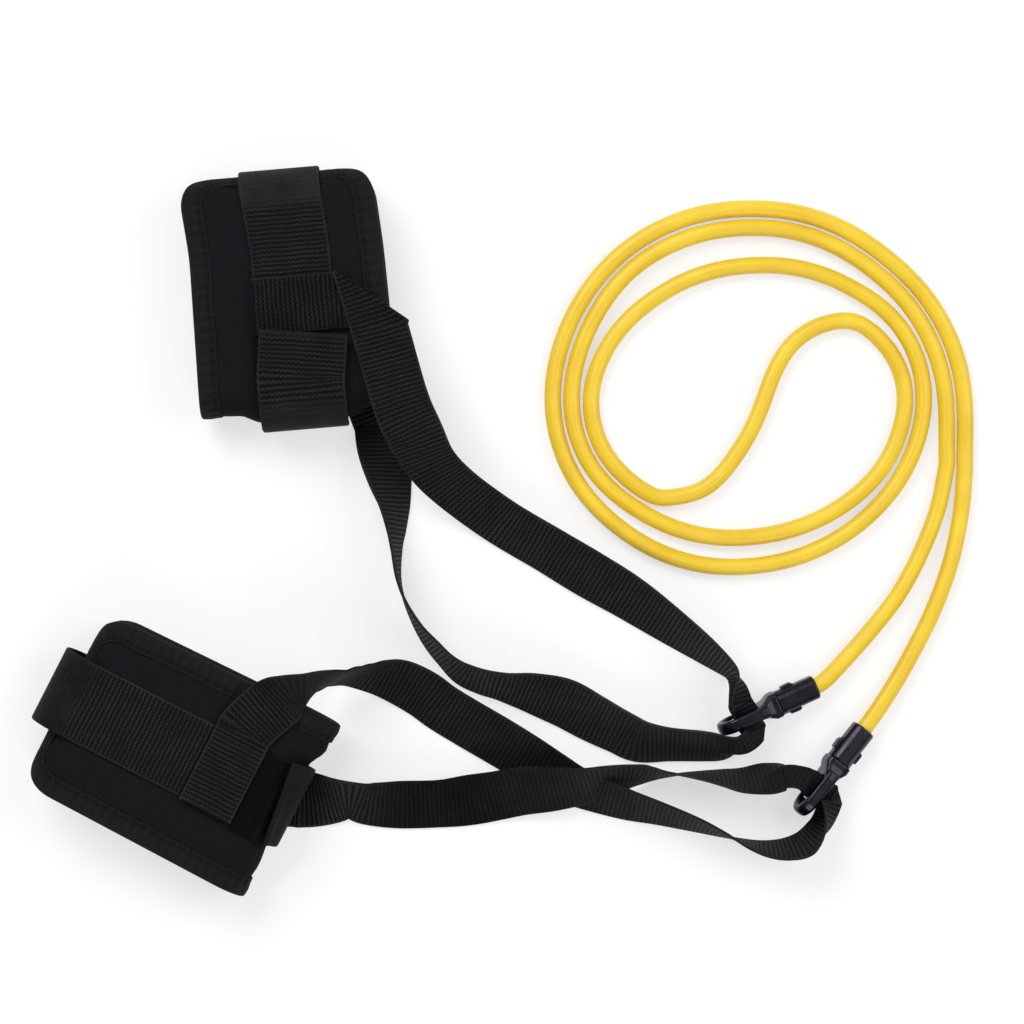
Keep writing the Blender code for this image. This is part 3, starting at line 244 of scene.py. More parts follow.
def tail_points(route, coil_end, coil_before, matrix):
    """Points from an end of the coil along its route in the photograph and straight into a hook's sleeve."""
    run = (coil_end - coil_before).normalized()
    start = coil_end + run * TUBE_CLEARANCE
    straight = matrix @ Vector((-TAIL_LEAD, 0, 0))
    places = [start, start + run * TUBE_DIAMETER] + [lay(p, TUBE_REST_HEIGHT) for p in route]
    places[-1] = places[-1] + Vector((0, 0, (straight.z - TUBE_REST_HEIGHT) * TAIL_RISE))
    points = places[:1] + smooth(places[1:] + [straight, matrix @ Vector((0, 0, 0))], 2)
    points = [Vector((p.x, p.y, max(p.z, TUBE_REST_HEIGHT))) for p in points]
    return points + [matrix @ Vector((TUBE_GRIP_END, 0, 0))]


def loft_piece(name, rings, across, along, finish, closed=False):
    """Skin over rings of points, with a UV map in millimetres: across the ring and along the piece."""
    count = len(rings[0])
    faces, corners = [], []
    for k in range(len(rings) if closed else len(rings) - 1):
        near, far = k * count, (k + 1) % len(rings) * count
        v0, v1 = along[k], along[k + 1]
        for j in range(count):
            after = (j + 1) % count
            faces.append((near + j, near + after, far + after, far + j))
            slant = [v[i] if isinstance(v, list) else v for v, i in ((v0, j), (v0, after), (v1, after), (v1, j))]
            corners += zip((across[j], across[j + 1], across[j + 1], across[j]), slant)
    if not closed:
        last = (len(rings) - 1) * count
        faces += [tuple(range(count))[::-1], tuple(range(last, last + count))]
        corners += [(across[j], along[0]) for j in range(count)][::-1]
        corners += [(across[j], along[len(rings) - 1]) for j in range(count)]
    mesh = bpy.data.meshes.new(name)
    mesh.from_pydata([tuple(p) for ring in rings for p in ring], [], faces)
    layer = mesh.uv_layers.new(name="lay")
    layer.data.foreach_set("uv", [c * 1000 for corner in corners for c in corner])
    work = bmesh.new()
    work.from_mesh(mesh)
    if work.calc_volume(signed=True) < 0:
        bmesh.ops.reverse_faces(work, faces=work.faces)
    work.to_mesh(mesh)
    work.free()
    mesh.materials.append(finish)
    mesh.shade_smooth()
    mesh.set_sharp_from_angle(angle=math.radians(SHARP_EDGE))
    return new_object(name, mesh)


def running_length(points):
    """Length of the line up to each of its points."""
    out = [0.0]
    for a, b in zip(points, points[1:]):
        out.append(out[-1] + (b - a).length)
    return out


def latex_finish():
    """Natural rubber tube, extruded: yellow, half matt, with faint lines along it and a little dust."""
    made, tree, give = new_material("extruded_latex", 0.42)
    drawn = add_node(tree, "ShaderNodeMapping", {"Vector": surface_place(tree), "Scale": (0.9, 0.012, 1.0)})
    place = object_place(tree)
    lines = speckle(tree, drawn.outputs[0], 1.0, 3.0)
    cloud = speckle(tree, place, 45.0, 4.0)
    dust = speckle(tree, place, 900.0, 2.0)
    tone = maths(tree, "MULTIPLY", maths(tree, "ADD", cloud, lines), 0.5)
    ramp = add_node(tree, "ShaderNodeValToRGB", {0: tone})
    for stop, (position, code) in zip(ramp.color_ramp.elements, ((0.35, "D8B11F"), (0.68, "E8C92C"))):
        stop.position = position
        stop.color = linear_colour(code)
    give(Base_Color=ramp.outputs[0], Roughness=ranged(tree, dust, 0.34, 0.56),
         Normal=relief(tree, maths(tree, "ADD", lines, dust), 0.12, 0.00012),
         Subsurface_Weight=0.08, Subsurface_Radius=(0.004, 0.0022, 0.0006), Subsurface_Scale=0.5)
    return made


def eased(points):
    """The line with its small kinks drawn out, without shrinking its bends, and an even bend at each sleeve."""
    first, last = SLEEVE_HOLD_POINTS, len(points) - SLEEVE_HOLD_POINTS
    for turn in range(2 * KINK_ROUNDS):
        pull = KINK_PULLS[turn % 2]
        moved = list(points)
        for k in range(first, last):
            moved[k] = points[k] + ((points[k - 1] + points[k + 1]) * 0.5 - points[k]) * pull
        points = moved
    for turn in range(SLEEVE_BEND_ROUNDS):
        moved = list(points)
        for k in [*range(first, first + SLEEVE_BEND_POINTS), *range(last - SLEEVE_BEND_POINTS, last)]:
            moved[k] = (points[k - 1] + points[k + 1]) * 0.25 + points[k] * 0.5
        points = moved
    return points


def tube_rings(path):
    """Circles of points round the tube's line, turned as little as can be from one to the next."""
    rings = []
    normal = Vector((0, 0, 1))
    for k, centre in enumerate(path):
        run = (path[min(len(path) - 1, k + 1)] - path[max(0, k - 1)]).normalized()
        normal = (normal - run * normal.dot(run)).normalized()
        side = run.cross(normal)
        rings.append([centre + (normal * math.cos(turn) + side * math.sin(turn)) * (TUBE_DIAMETER / 2)
                      for turn in (2 * math.pi * j / TUBE_SIDES for j in range(TUBE_SIDES))])
    return rings


hook_matrices = {number: hook_matrix(hook) for number, hook in HOOKS.items()}
arm_a = arm_points(ARM_A_START, ARM_A_TURN, ARM_A_RADII_PX)
arm_b = arm_points(ARM_B_START, ARM_B_TURN, ARM_B_RADII_PX)
s_middle = [lay(p, TUBE_REST_HEIGHT) for p in S_ROUTE_PX]
tail_1 = tail_points(TAIL_ROUTES_PX[1], arm_a[-1], arm_a[-2], hook_matrices[1])
tail_2 = tail_points(TAIL_ROUTES_PX[2], arm_b[-1], arm_b[-2], hook_matrices[2])
tube_route = tail_2[::-1][:-1] + arm_b[::-1] + s_middle + arm_a + tail_1[1:]
tube_path = eased(smooth(tube_route, TUBE_STEPS))
tube_lengths = running_length(tube_path)
tube_around = [math.pi * TUBE_DIAMETER * j / TUBE_SIDES for j in range(TUBE_SIDES + 1)]
tube = loft_piece("latex_tube", tube_rings(tube_path), tube_around, tube_lengths, latex_finish())
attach(tube, "tether")
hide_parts("tube_tail_1", "tube_coil", "tube_tail_2")

# Floor and light: a plain white floor, a pale sky and large soft lamps. The camera sees the floor
# as white paper; the lamps stay at a plain level so that the black parts keep their weave.
HALF_FLOOR = 3.0
FLOOR_DROP = 0.0002
PAPER_GLOW = 0.6
SKY_STRENGTH = 0.36
WHITE = (1.0, 1.0, 1.0, 1.0)
LAMPS = (
    ("key", (-1.0, 1.4, 1.9), 1.5, 48.0),
    ("fill", (1.6, 0.4, 1.6), 1.5, 20.0),
    ("rim", (0.3, -1.7, 1.3), 1.1, 14.0),
)
floor_mesh = bpy.data.meshes.new("floor")
corners = [(x * HALF_FLOOR, y * HALF_FLOOR, -FLOOR_DROP) for x, y in ((-1, -1), (1, -1), (1, 1), (-1, 1))]
floor_mesh.from_pydata(corners, [], [(0, 1, 2, 3)])
new_object("floor", floor_mesh)
paper, paper_tree, give = new_material("white_paper", 0.9, 0.1)
give(Base_Color=linear_colour("F4F4F4"))
rays = add_node(paper_tree, "ShaderNodeLightPath").outputs
seen = maths(paper_tree, "MAXIMUM", rays["Is Camera Ray"], rays["Is Glossy Ray"])
seen = maths(paper_tree, "MAXIMUM", seen, rays["Is Transmission Ray"])
share = maths(paper_tree, "MULTIPLY", seen, PAPER_GLOW)
glow = add_node(paper_tree, "ShaderNodeEmission", {"Color": WHITE, "Strength": 1.0}).outputs[0]
matt = paper_tree.nodes["Principled BSDF"].outputs[0]
both = add_node(paper_tree, "ShaderNodeMixShader", {0: share, 1: matt, 2: glow}).outputs[0]
paper_tree.links.new(both, paper_tree.nodes["Material Output"].inputs["Surface"])
floor_mesh.materials.append(paper)

world = bpy.data.worlds.new("studio")
bpy.context.scene.world = world
world.use_nodes = True
background = world.node_tree.nodes["Background"]
background.inputs["Color"].default_value = WHITE
background.inputs["Strength"].default_value = SKY_STRENGTH
for lamp_name, spot, size, power in LAMPS:
    lamp_data = bpy.data.lights.new(lamp_name, "AREA")
    lamp_data.size = size
    lamp_data.energy = power
    lamp = new_object(lamp_name, lamp_data)
    lamp.location = spot
    lamp.rotation_euler = (-Vector(spot)).to_track_quat("-Z", "Y").to_euler()

# Cuff pads: 4.5 mm neoprene foam with a knit face on both sides, cut to a long shape with
# round corners and wrapped to a flat loop. The knit face is matt and finely grained, and the
# foam swells a little between the belt and the taped edge.
PAD_THICKNESS = 0.0045
PAD_BEND_RADIUS = 0.0165
PAD_STRAIGHT = 0.0950
PAD_WIDTH_AT_FOLD = 0.1015
PAD_WIDTH_AT_ENDS = 0.0965
PAD_CORNER_ALONG = 0.0230
PAD_CORNER_ACROSS = 0.0180
PAD_END_GAP = 0.0040
PAD_SHIFT = -0.0024
BELT_WIDTH = 0.0415
BINDING_WIDTH = 0.0100
SWELL = 0.0010
CUFF_AXIS_HEIGHT = 0.0201
EDGE_PINCH = 0.0009
WALE_MM = 0.9
COURSE_MM = 0.7
BEND_LENGTH = math.pi * PAD_BEND_RADIUS
PAD_START = -BEND_LENGTH / 2 + PAD_END_GAP / 2
PAD_END = 2 * PAD_STRAIGHT + 1.5 * BEND_LENGTH - PAD_END_GAP / 2
UNDER_START = PAD_STRAIGHT + BEND_LENGTH
FOLD_MIDDLE = PAD_STRAIGHT + BEND_LENGTH / 2
# bend_painted_shading is painted shade on the belt round its bends; tongue_painted_shading is painted shade over the
# tongue.
CUFFS = {
    1: {"start_px": (288.4, 208.0), "heading": -85.1, "patch": 0.0517, "belt_slack": 0.0020,
        "tongue_end": 0.0668, "tongue_hinge": 0.0, "tongue_swing": 8.5, "tongue_trim": 0.0,
        "lean": 0.0034, "fold_reach": (-0.32, -0.28), "bend_painted_shading": 0.0, "tongue_painted_shading": 0.1},
    2: {"start_px": (99.5, 706.4), "heading": -27.0, "patch": 0.0749, "belt_slack": 0.0105,
        "tongue_end": 0.1030, "tongue_hinge": 72.0, "tongue_swing": -6.0, "tongue_trim": 0.0025,
        "lean": 0.0, "fold_reach": (0.0, 0.28), "bend_painted_shading": 0.5, "tongue_painted_shading": 0.45},
}
LEAN_FROM = 0.030
LEAN_LENGTH = 0.048
LEAN_SIDE = 0.05
LEAN_LESS = 0.55
FOLD_SIDE = 0.002
FOLD_SIDE_LENGTH = 0.012
SWELL_MARGIN = 0.001
SWELL_EVEN, SWELL_UNEVEN = 0.75, 0.45
PINCH_FROM, PINCH_SPAN = 0.94, 0.06
PAD_STEP = 0.0025
CORNER_STEPS = 14
INNER_FACE_SHIFT = 9


def cuff_matrix(cuff):
    """Cuff frame: X along the wrap to the fold, Y across, Z up, level with the sleeve's middle."""
    place = lay(cuff["start_px"], CUFF_AXIS_HEIGHT)
    return Matrix.Translation(place) @ Matrix.Rotation(math.radians(cuff["heading"]), 4, "Z")


def closed_end(slack):
    """Where the closed end's bend starts and ends, along the wrap."""
    start = UNDER_START + PAD_STRAIGHT + slack
    return start, start + BEND_LENGTH


def wrap(along, across, offset, slack=0.0):
    """Point on the sleeve: along runs over the top, round the fold, back below and round the closed end."""
    radius = PAD_BEND_RADIUS + offset
    end, over = closed_end(slack)
    if along < -slack:
        turn = (-slack - along) / PAD_BEND_RADIUS
        return Vector((-slack - radius * math.sin(turn), across, radius * math.cos(turn)))
    if along <= PAD_STRAIGHT:
        return Vector((along, across, radius))
    if along <= UNDER_START:
        turn = (along - PAD_STRAIGHT) / PAD_BEND_RADIUS
        return Vector((PAD_STRAIGHT + radius * math.sin(turn), across, radius * math.cos(turn)))
    if along <= end:
        return Vector((PAD_STRAIGHT - (along - UNDER_START), across, -radius))
    if along <= over:
        turn = (along - end) / PAD_BEND_RADIUS
        return Vector((-slack - radius * math.sin(turn), across, -radius * math.cos(turn)))
    return Vector((-slack + along - over, across, radius))


def held(share):
    """A share kept from 0 to 1."""
    return max(0.0, min(1.0, share))


def eased_share(value):
    """A share kept from 0 to 1 that starts and ends gently."""
    share = held(value)
    return share * share * (3 - 2 * share)


def on_cuff(number, along, across, offset, slack=0.0, soft=False):
    """Point on a cuff as it lies: the closed end leans over, and beside the belt the fold is drawn in or out."""
    cuff = CUFFS[number]
    spot = wrap(along, across, offset, slack)
    side = eased_share(spot.y / LEAN_SIDE)
    spot.y -= cuff["lean"] * eased_share((LEAN_FROM - spot.x) / LEAN_LENGTH) * (1 - LEAN_LESS * side)
    if soft:
        beside = eased_share((abs(across) - BELT_WIDTH / 2 - FOLD_SIDE) / FOLD_SIDE_LENGTH)
        if spot.x > PAD_STRAIGHT:
            reach = cuff["fold_reach"][0 if across < 0 else 1]
            spot.x = PAD_STRAIGHT + (spot.x - PAD_STRAIGHT) * (1 + reach * beside)
    return cuff_frames[number] @ spot


def pad_half_width(along):
    """Half the pad's width, a little less towards its ends and drawn in at its round corners."""
    far = abs(along - FOLD_MIDDLE)
    reach = PAD_END - FOLD_MIDDLE
    half = (PAD_WIDTH_AT_FOLD + (PAD_WIDTH_AT_ENDS - PAD_WIDTH_AT_FOLD) * far / reach) / 2
    left = max(0.0, reach - far)
    if left < PAD_CORNER_ALONG:
        half -= PAD_CORNER_ACROSS * (1 - math.sqrt(max(0.0, 1 - (1 - left / PAD_CORNER_ALONG) ** 2)))
    return half


def steps_between(start, end, count):
    return [start + (end - start) * k / count for k in range(count + 1)]


def pad_stations(step):
    """Lengths along the pad as three lists: one pair of corners, the run between, and the other pair."""
    corner = [PAD_CORNER_ALONG * (1 - math.cos(math.pi / 2 * k / CORNER_STEPS)) for k in range(CORNER_STEPS + 1)]
    first = [PAD_START + c for c in corner]
    last = [PAD_END - c for c in reversed(corner)]
    start, end = first[-1], last[0]
    count = int((end - start) / step)
    return first, steps_between(start, end, count)[1:-1], last


def neoprene_finish():
    """Neoprene with a jersey knit face: near black, matt, with 0.9 mm wales and soft dents."""
    made, tree, give = new_material("knit_faced_neoprene", 0.9, 0.1)
    parts = add_node(tree, "ShaderNodeSeparateXYZ", {0: surface_place(tree)}).outputs
    place = object_place(tree)
    knit = maths(tree, "MULTIPLY", wave(tree, "SINE", parts[0], WALE_MM), wave(tree, "SINE", parts[1], COURSE_MM))
    grain = speckle(tree, place, 1400.0, 3.0)
    height = maths(tree, "ADD", maths(tree, "MULTIPLY", knit, 0.35), grain)
    fine = relief(tree, height, 0.5, 0.00018)
    give(Base_Color=blended(tree, ranged(tree, grain, 0.0, 1.0, 0.3, 0.75), "0B0B0E", "17161B"),
         Normal=relief(tree, speckle(tree, place, 38.0, 2.0), 0.35, 0.0012, Normal=fine))
    return made


def pad_skin(along, share, half):
    """Extra height of the pad's faces: pressed flat by the belt and the tape, swollen between them."""
    across = abs(share) * half
    belt_edge = BELT_WIDTH / 2 + SWELL_MARGIN - math.copysign(PAD_SHIFT, share)
    tape_edge = half - BINDING_WIDTH
    if across <= belt_edge or across >= tape_edge or tape_edge <= belt_edge:
        return 0.0
    part = (across - belt_edge) / (tape_edge - belt_edge)
    puff = math.sin(math.pi * part) ** 0.8
    wander = noise.noise(Vector((along * 55, across * 60, half * 9)))
    return SWELL * puff * (SWELL_EVEN + SWELL_UNEVEN * wander)


cuff_frames = {number: cuff_matrix(cuff) for number, cuff in CUFFS.items()}
neoprene = neoprene_finish()
pad_shares = [-1.0, -0.992, -0.97, -0.93] + steps_between(-0.88, 0.88, 30) + [0.93, 0.97, 0.992, 1.0]
for number in CUFFS:
    first, middle, last = pad_stations(PAD_STEP)
    lengths = first + middle + last
    rings = []
    for along in lengths:
        half = pad_half_width(along)
        outer, inner = [], []
        for share in pad_shares:
            pinch = EDGE_PINCH * max(0.0, (abs(share) - PINCH_FROM) / PINCH_SPAN) ** 2
            across = PAD_SHIFT + half * share
            outer.append(on_cuff(number, along, across, pad_skin(along, share, half) - pinch, soft=True))
            puff = 0.5 * pad_skin(along + INNER_FACE_SHIFT, share, half)
            inner.append(on_cuff(number, along, across, -PAD_THICKNESS - puff + pinch, soft=True))
        rings.append(outer + inner[::-1])
    around = [PAD_WIDTH_AT_FOLD / 2 * share for share in pad_shares + pad_shares[::-1] + [-1.0]]
    pad = loft_piece(f"neoprene_pad_{number}", rings, around, lengths, neoprene)
    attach(pad, "tether")
    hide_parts(f"pad_{number}")

# Edge binding: woven tape folded over the pad's edge, 10 mm deep on both faces, and sewn through
# with one row of lockstitch. It stands round over the foam and puckers at the stitches.
BINDING_THICKNESS = 0.0008
BINDING_CLEARANCE = 0.0005
PUCKER_PITCH = 0.0056
PUCKER_DEPTH = 0.0011
LUMP_HEIGHT = 0.00045
STITCH_LENGTH = 0.0026
STITCH_PITCH = 0.0036
THREAD_RADIUS = 0.00024
SEAM_DEPTH = 0.0078
SEAM_REACH = 0.0034
GROOVE_REACH = 0.0018
LUMP_DEPTH = 0.0070
FACE_SINK = 0.0001
FACE_LEVEL = 0.0006
FACE_WAVER = 0.00025
HEM_WAVER, HEM_FROM = 0.0004, 0.006
BINDING_STEP = 0.0013


def woven_tape_finish():
    """Polyester tape in a fine plain weave: 0.8 mm threads, matt black with a slight sheen, with painted shade in the
    seam's groove and at the puckers.
    """
    made, tree, give = new_material("woven_tape", 0.85, 0.14)
    parts = add_node(tree, "ShaderNodeSeparateXYZ", {0: surface_place(tree)}).outputs
    weave = maths(tree, "MULTIPLY", wave(tree, "SINE", parts[0], 0.8), wave(tree, "SINE", parts[1], 0.8))
    fuzz = speckle(tree, object_place(tree), 1100.0, 3.0)
    # Painted shade: painted_hollow_shade darkens the tape's colour in the seam's groove and at the puckers.
    painted_hollow_shade = add_node(tree, "ShaderNodeAttribute", attribute_name="painted_hollow_shade").outputs["Fac"]
    tone = maths(tree, "MULTIPLY", ranged(tree, weave, 0.0, 1.0, -1.0, 1.0), fuzz)
    tone = maths(tree, "MULTIPLY", tone, ranged(tree, painted_hollow_shade, 1.25, 0.0))
    give(Base_Color=blended(tree, tone, blended(tree, painted_hollow_shade, "0C0C0E", "010101"), "26252B"),
         Normal=relief(tree, maths(tree, "ADD", weave, fuzz), 0.6, 0.0002))
    return made


def grained_finish(name, shine, grain, colours, rough=None, bump=None, fine=None, **constants):
    """A finish from one speckle: it moves the colour and, where asked, the roughness and the relief; a finer
    speckle can take over the relief."""
    made, tree, give = new_material(name, *shine)
    place = object_place(tree)
    value = speckle(tree, place, *grain)
    give(Base_Color=blended(tree, value, *colours), **constants)
    if rough:
        give(Roughness=ranged(tree, value, *rough))
    if bump:
        give(Normal=relief(tree, speckle(tree, place, *fine) if fine else value, *bump))
    return made


def add_values(piece, label, values):
    """A value at each point of a piece, for its finish to read."""
    layer = piece.data.attributes.new(label, "FLOAT", "POINT")
    layer.data.foreach_set("value", values)


def new_group(name, values):
    """A geometry node group with named inputs, and their sockets."""
    tree = bpy.data.node_groups.new(name, "GeometryNodeTree")
    tree.interface.new_socket("Geometry", in_out="INPUT", socket_type="NodeSocketGeometry")
    for label, value in values.items():
        kind = "NodeSocketInt" if isinstance(value, int) else "NodeSocketFloat"
        tree.interface.new_socket(label, in_out="INPUT", socket_type=kind).default_value = value
    tree.interface.new_socket("Finish", in_out="INPUT", socket_type="NodeSocketMaterial")
    tree.interface.new_socket("Geometry", in_out="OUTPUT", socket_type="NodeSocketGeometry")
    return tree, tree.nodes.new("NodeGroupInput").outputs


def lay_copies(tree, entry, points, shape, rotation, scale):
    """The end of a group: copies of a shape on points, made real and given the group's finish."""
    laid = add_node(tree, "GeometryNodeInstanceOnPoints", {"Points": points, "Instance": shape, "Rotation": rotation,
                                                          "Scale": scale}).outputs[0]
    real = add_node(tree, "GeometryNodeRealizeInstances", {"Geometry": laid}).outputs[0]
    done = add_node(tree, "GeometryNodeSetMaterial", {"Geometry": real, "Material": entry["Finish"]}).outputs[0]
    tree.links.new(done, tree.nodes.new("NodeGroupOutput").inputs[0])
    return tree


def stitch_tree():
    """Geometry nodes that lay one short round stitch at even steps along each line."""
    tree, entry = new_group("stitches", {"Pitch": STITCH_PITCH, "Stitch": STITCH_LENGTH, "Thread": THREAD_RADIUS})
    line = add_node(tree, "GeometryNodeMeshToCurve", {"Mesh": entry["Geometry"]}).outputs[0]
    even = add_node(tree, "GeometryNodeResampleCurve", {"Curve": line, "Length": entry["Pitch"]}, mode="LENGTH")
    spots = add_node(tree, "GeometryNodeCurveToPoints", {"Curve": even.outputs[0]}, mode="EVALUATED").outputs
    shape = add_node(tree, "GeometryNodeMeshUVSphere", {"Segments": 8, "Rings": 6, "Radius": 1.0}).outputs[0]
    half = maths(tree, "MULTIPLY", entry["Stitch"], 0.5)
    size = add_node(tree, "ShaderNodeCombineXYZ", {0: entry["Thread"], 1: entry["Thread"], 2: half}).outputs[0]
    return lay_copies(tree, entry, spots["Points"], shape, spots["Rotation"], size)


def applied(live, name):
    """An object with its modifiers worked into a plain mesh, in place of the live one."""
    mesh = bpy.data.meshes.new_from_object(live.evaluated_get(bpy.context.evaluated_depsgraph_get()))
    bpy.data.objects.remove(live, do_unlink=True)
    mesh.name = name
    return new_object(name, mesh)


def built(name, mesh, group, values):
    """The mesh run through a node group, each value given to the input of its name."""
    live = new_object(name + "_live", mesh)
    step = live.modifiers.new(group.name, "NODES")
    step.node_group = group
    for socket in group.interface.items_tree:
        if socket.in_out == "INPUT" and socket.name in values:
            step[socket.identifier] = values[socket.name]
    return applied(live, name)


def sew(name, lines, pitch=STITCH_PITCH, length=STITCH_LENGTH):
    """Rows of stitches along lines of points, as one piece."""
    points, edges = [], []
    for line in lines:
        start = len(points)
        points += [tuple(p) for p in line]
        edges += [(k, k + 1) for k in range(start, len(points) - 1)]
    mesh = bpy.data.meshes.new(name + "_rows")
    mesh.from_pydata(points, edges, [])
    piece = built(name, mesh, stitches, {"Finish": thread, "Pitch": pitch, "Stitch": length, "Thread": THREAD_RADIUS})
    piece.data.shade_smooth()
    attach(piece, "tether")


def pad_outline(step):
    """Outline of the unrolled pad as (along, across), anticlockwise from one end."""
    first, middle, last = pad_stations(step)
    side = [(along, pad_half_width(along)) for along in first + middle + last]
    end_shares = steps_between(0.9, -0.9, 16)
    outline = [(a, -w) for a, w in side]
    outline += [(PAD_END, -side[-1][1] * share) for share in end_shares]
    outline += [(a, w) for a, w in reversed(side)]
    outline += [(PAD_START, side[0][1] * share) for share in end_shares]
    return outline


def binding_profile(out, near, below):
    """Section of the folded tape as (depth from the pad's edge, height): over the top, round the edge, back below."""
    lip, hem = BINDING_WIDTH, 0.0002
    middle = below / 2
    profile = [(lip, near + hem), (lip - hem, out - hem / 2)]
    profile += [(lip * s, out) for s in (0.88, 0.78, 0.68, 0.55, 0.4, 0.25, 0.1)]
    for k in range(9):
        turn = math.pi * (0.5 - k / 8)
        profile.append((-out * 0.98 * math.cos(turn), middle + (out - middle) * math.sin(turn)))
    profile += [(lip * s, below - out) for s in (0.1, 0.25, 0.45, 0.65, 0.85)]
    profile += [(lip - hem, below - out + hem / 2), (lip, below - near - hem)]
    profile += [(lip * s, below - near) for s in (0.6, 0.3, 0.0)]
    profile += [(-near, below - near), (-near, near)]
    return profile + [(lip * s, near) for s in (0.0, 0.3, 0.6)]


# Bonded polyester sewing thread: black, with the low gloss of its wax.
thread = grained_finish("waxed_thread", (0.6, 0.2), (2600.0, 1.0), ("08080A", "19181C"), bump=(0.5, 0.0001))
stitches = stitch_tree()
tape = woven_tape_finish()
out, below = BINDING_CLEARANCE + BINDING_THICKNESS, -PAD_THICKNESS
profile = binding_profile(out, BINDING_CLEARANCE, below)
spread = [0.0]
for a, b in zip(profile, profile[1:] + profile[:1]):
    spread.append(spread[-1] + math.hypot(b[0] - a[0], b[1] - a[1]))
outline = pad_outline(BINDING_STEP)
run_length = [0.0]
for k in range(1, len(outline) + 1):
    here, back = Vector(outline[k % len(outline)]), Vector(outline[k - 1])
    run_length.append(run_length[-1] + (here - back).length)
for number in CUFFS:
    rings, stitch_over, stitch_under, painted_hollow_shades = [], [], [], []
    for k, (along, across) in enumerate(outline):
        before, after = Vector(outline[k - 1]), Vector(outline[(k + 1) % len(outline)])
        run = (after - before).normalized()
        inward = Vector((-run.y, run.x))
        pucker = 0.5 + 0.5 * math.cos(2 * math.pi * run_length[k] / PUCKER_PITCH)
        wander = noise.noise(Vector((along * 90, across * 90, number * 7)))
        ring = []
        for depth, offset in profile:
            spot = Vector((along, across)) + inward * (depth + HEM_WAVER * wander * (depth > HEM_FROM))
            near_seam = max(0.0, 1 - abs(depth - SEAM_DEPTH) / SEAM_REACH)
            groove = max(0.0, 1 - abs(depth - SEAM_DEPTH) / GROOVE_REACH)
            lump = math.sin(math.pi * held(depth / LUMP_DEPTH))
            lift = FACE_WAVER * wander + LUMP_HEIGHT * lump * (1 - pucker)
            lift -= FACE_SINK * near_seam + PUCKER_DEPTH * near_seam * pucker ** 3
            # Painted shade: how much the tape's colour is darkened in the seam's groove and at the puckers.
            painted_hollow_shades.append(min(1.0, groove * (0.55 + 0.45 * pucker) + 0.4 * lump * pucker ** 2))
            height = offset + (lift if offset > FACE_LEVEL else -lift if offset < below - FACE_LEVEL else 0.0)
            ring.append(on_cuff(number, spot.x, spot.y + PAD_SHIFT, height, soft=True))
        rings.append(ring)
        seam = Vector((along, across)) + inward * SEAM_DEPTH
        sunk = FACE_SINK + PUCKER_DEPTH * pucker ** 3
        stitch_over.append(on_cuff(number, seam.x, seam.y + PAD_SHIFT, out - sunk, soft=True))
        stitch_under.append(on_cuff(number, seam.x, seam.y + PAD_SHIFT, below - out + sunk, soft=True))
    binding = loft_piece(f"edge_binding_{number}", rings, spread, run_length, tape, closed=True)
    add_values(binding, "painted_hollow_shade", painted_hollow_shades)
    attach(binding, "tether")
    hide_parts(f"binding_{number}")
    sew(f"binding_stitches_{number}", [stitch_over + stitch_over[:1], stitch_under + stitch_under[:1]])

# Belt webbing: 41 mm polypropylene webbing sewn round the pad; its free end is the tongue of the
# closure. It is woven with thick cross ribs 2.4 mm apart and fine warp threads that zigzag over
# them, and has smooth tight selvedges.
WEBBING_THICKNESS = 0.0015
CLEARANCE = 0.0003
LAYER_PITCH = WEBBING_THICKNESS + CLEARANCE
BRIDLE_WIDTH = 0.030
RIB_PITCH_MM = 2.38
WARP_PITCH_MM = 1.3
SELVEDGE_MM = (1.5, 0.9)
RIB_RELIEF = 0.00013
EDGE_WAVER = 0.00035
LIP_LENGTH = 0.0030
LIP_SWELL = 1.75
SWING_LENGTH = 0.008
STRAP_TURN = 165.0
STAND_OFF_SLOPE = 1.6
LOOP_STRIP_THICKNESS = 0.0010
LOOP_STRIP_WIDTH = 0.0455
LOOP_STRIP_SHIFT = -0.0016
TONGUE_WIDTH = 0.0455
HOOK_STRIP_THICKNESS = 0.0008
HOOK_STRIP_WIDTH = 0.0375
HOOK_STRIP_INSET = 0.0030
BELT_OFFSET = CLEARANCE
PATCH_OFFSET = BELT_OFFSET + LAYER_PITCH
HOOK_STRIP_OFFSET = PATCH_OFFSET + LOOP_STRIP_THICKNESS + CLEARANCE
TONGUE_OFFSET = HOOK_STRIP_OFFSET + HOOK_STRIP_THICKNESS + CLEARANCE
RIB_LEAST, RIB_MOST = 0.12, 1.0
RIB_FOLD_START, RIB_FOLD_FADE = 0.003, 0.007
RIB_BACK_START, RIB_BACK_FADE = 0.002, 0.008
RIB_FADE = 0.01
TONGUE_BEND_REACH = 0.0016
TONGUE_TIP_LIFT = 0.0014
TIP_LIFT_LENGTH = 0.005
BELT_STEP = 0.0012
BEND_STEP = 0.0009
FINE_STEP = 0.0006
STRIP_STEP = 0.0015
STRAP_START = PAD_STRAIGHT + math.radians(STRAP_TURN) * PAD_BEND_RADIUS


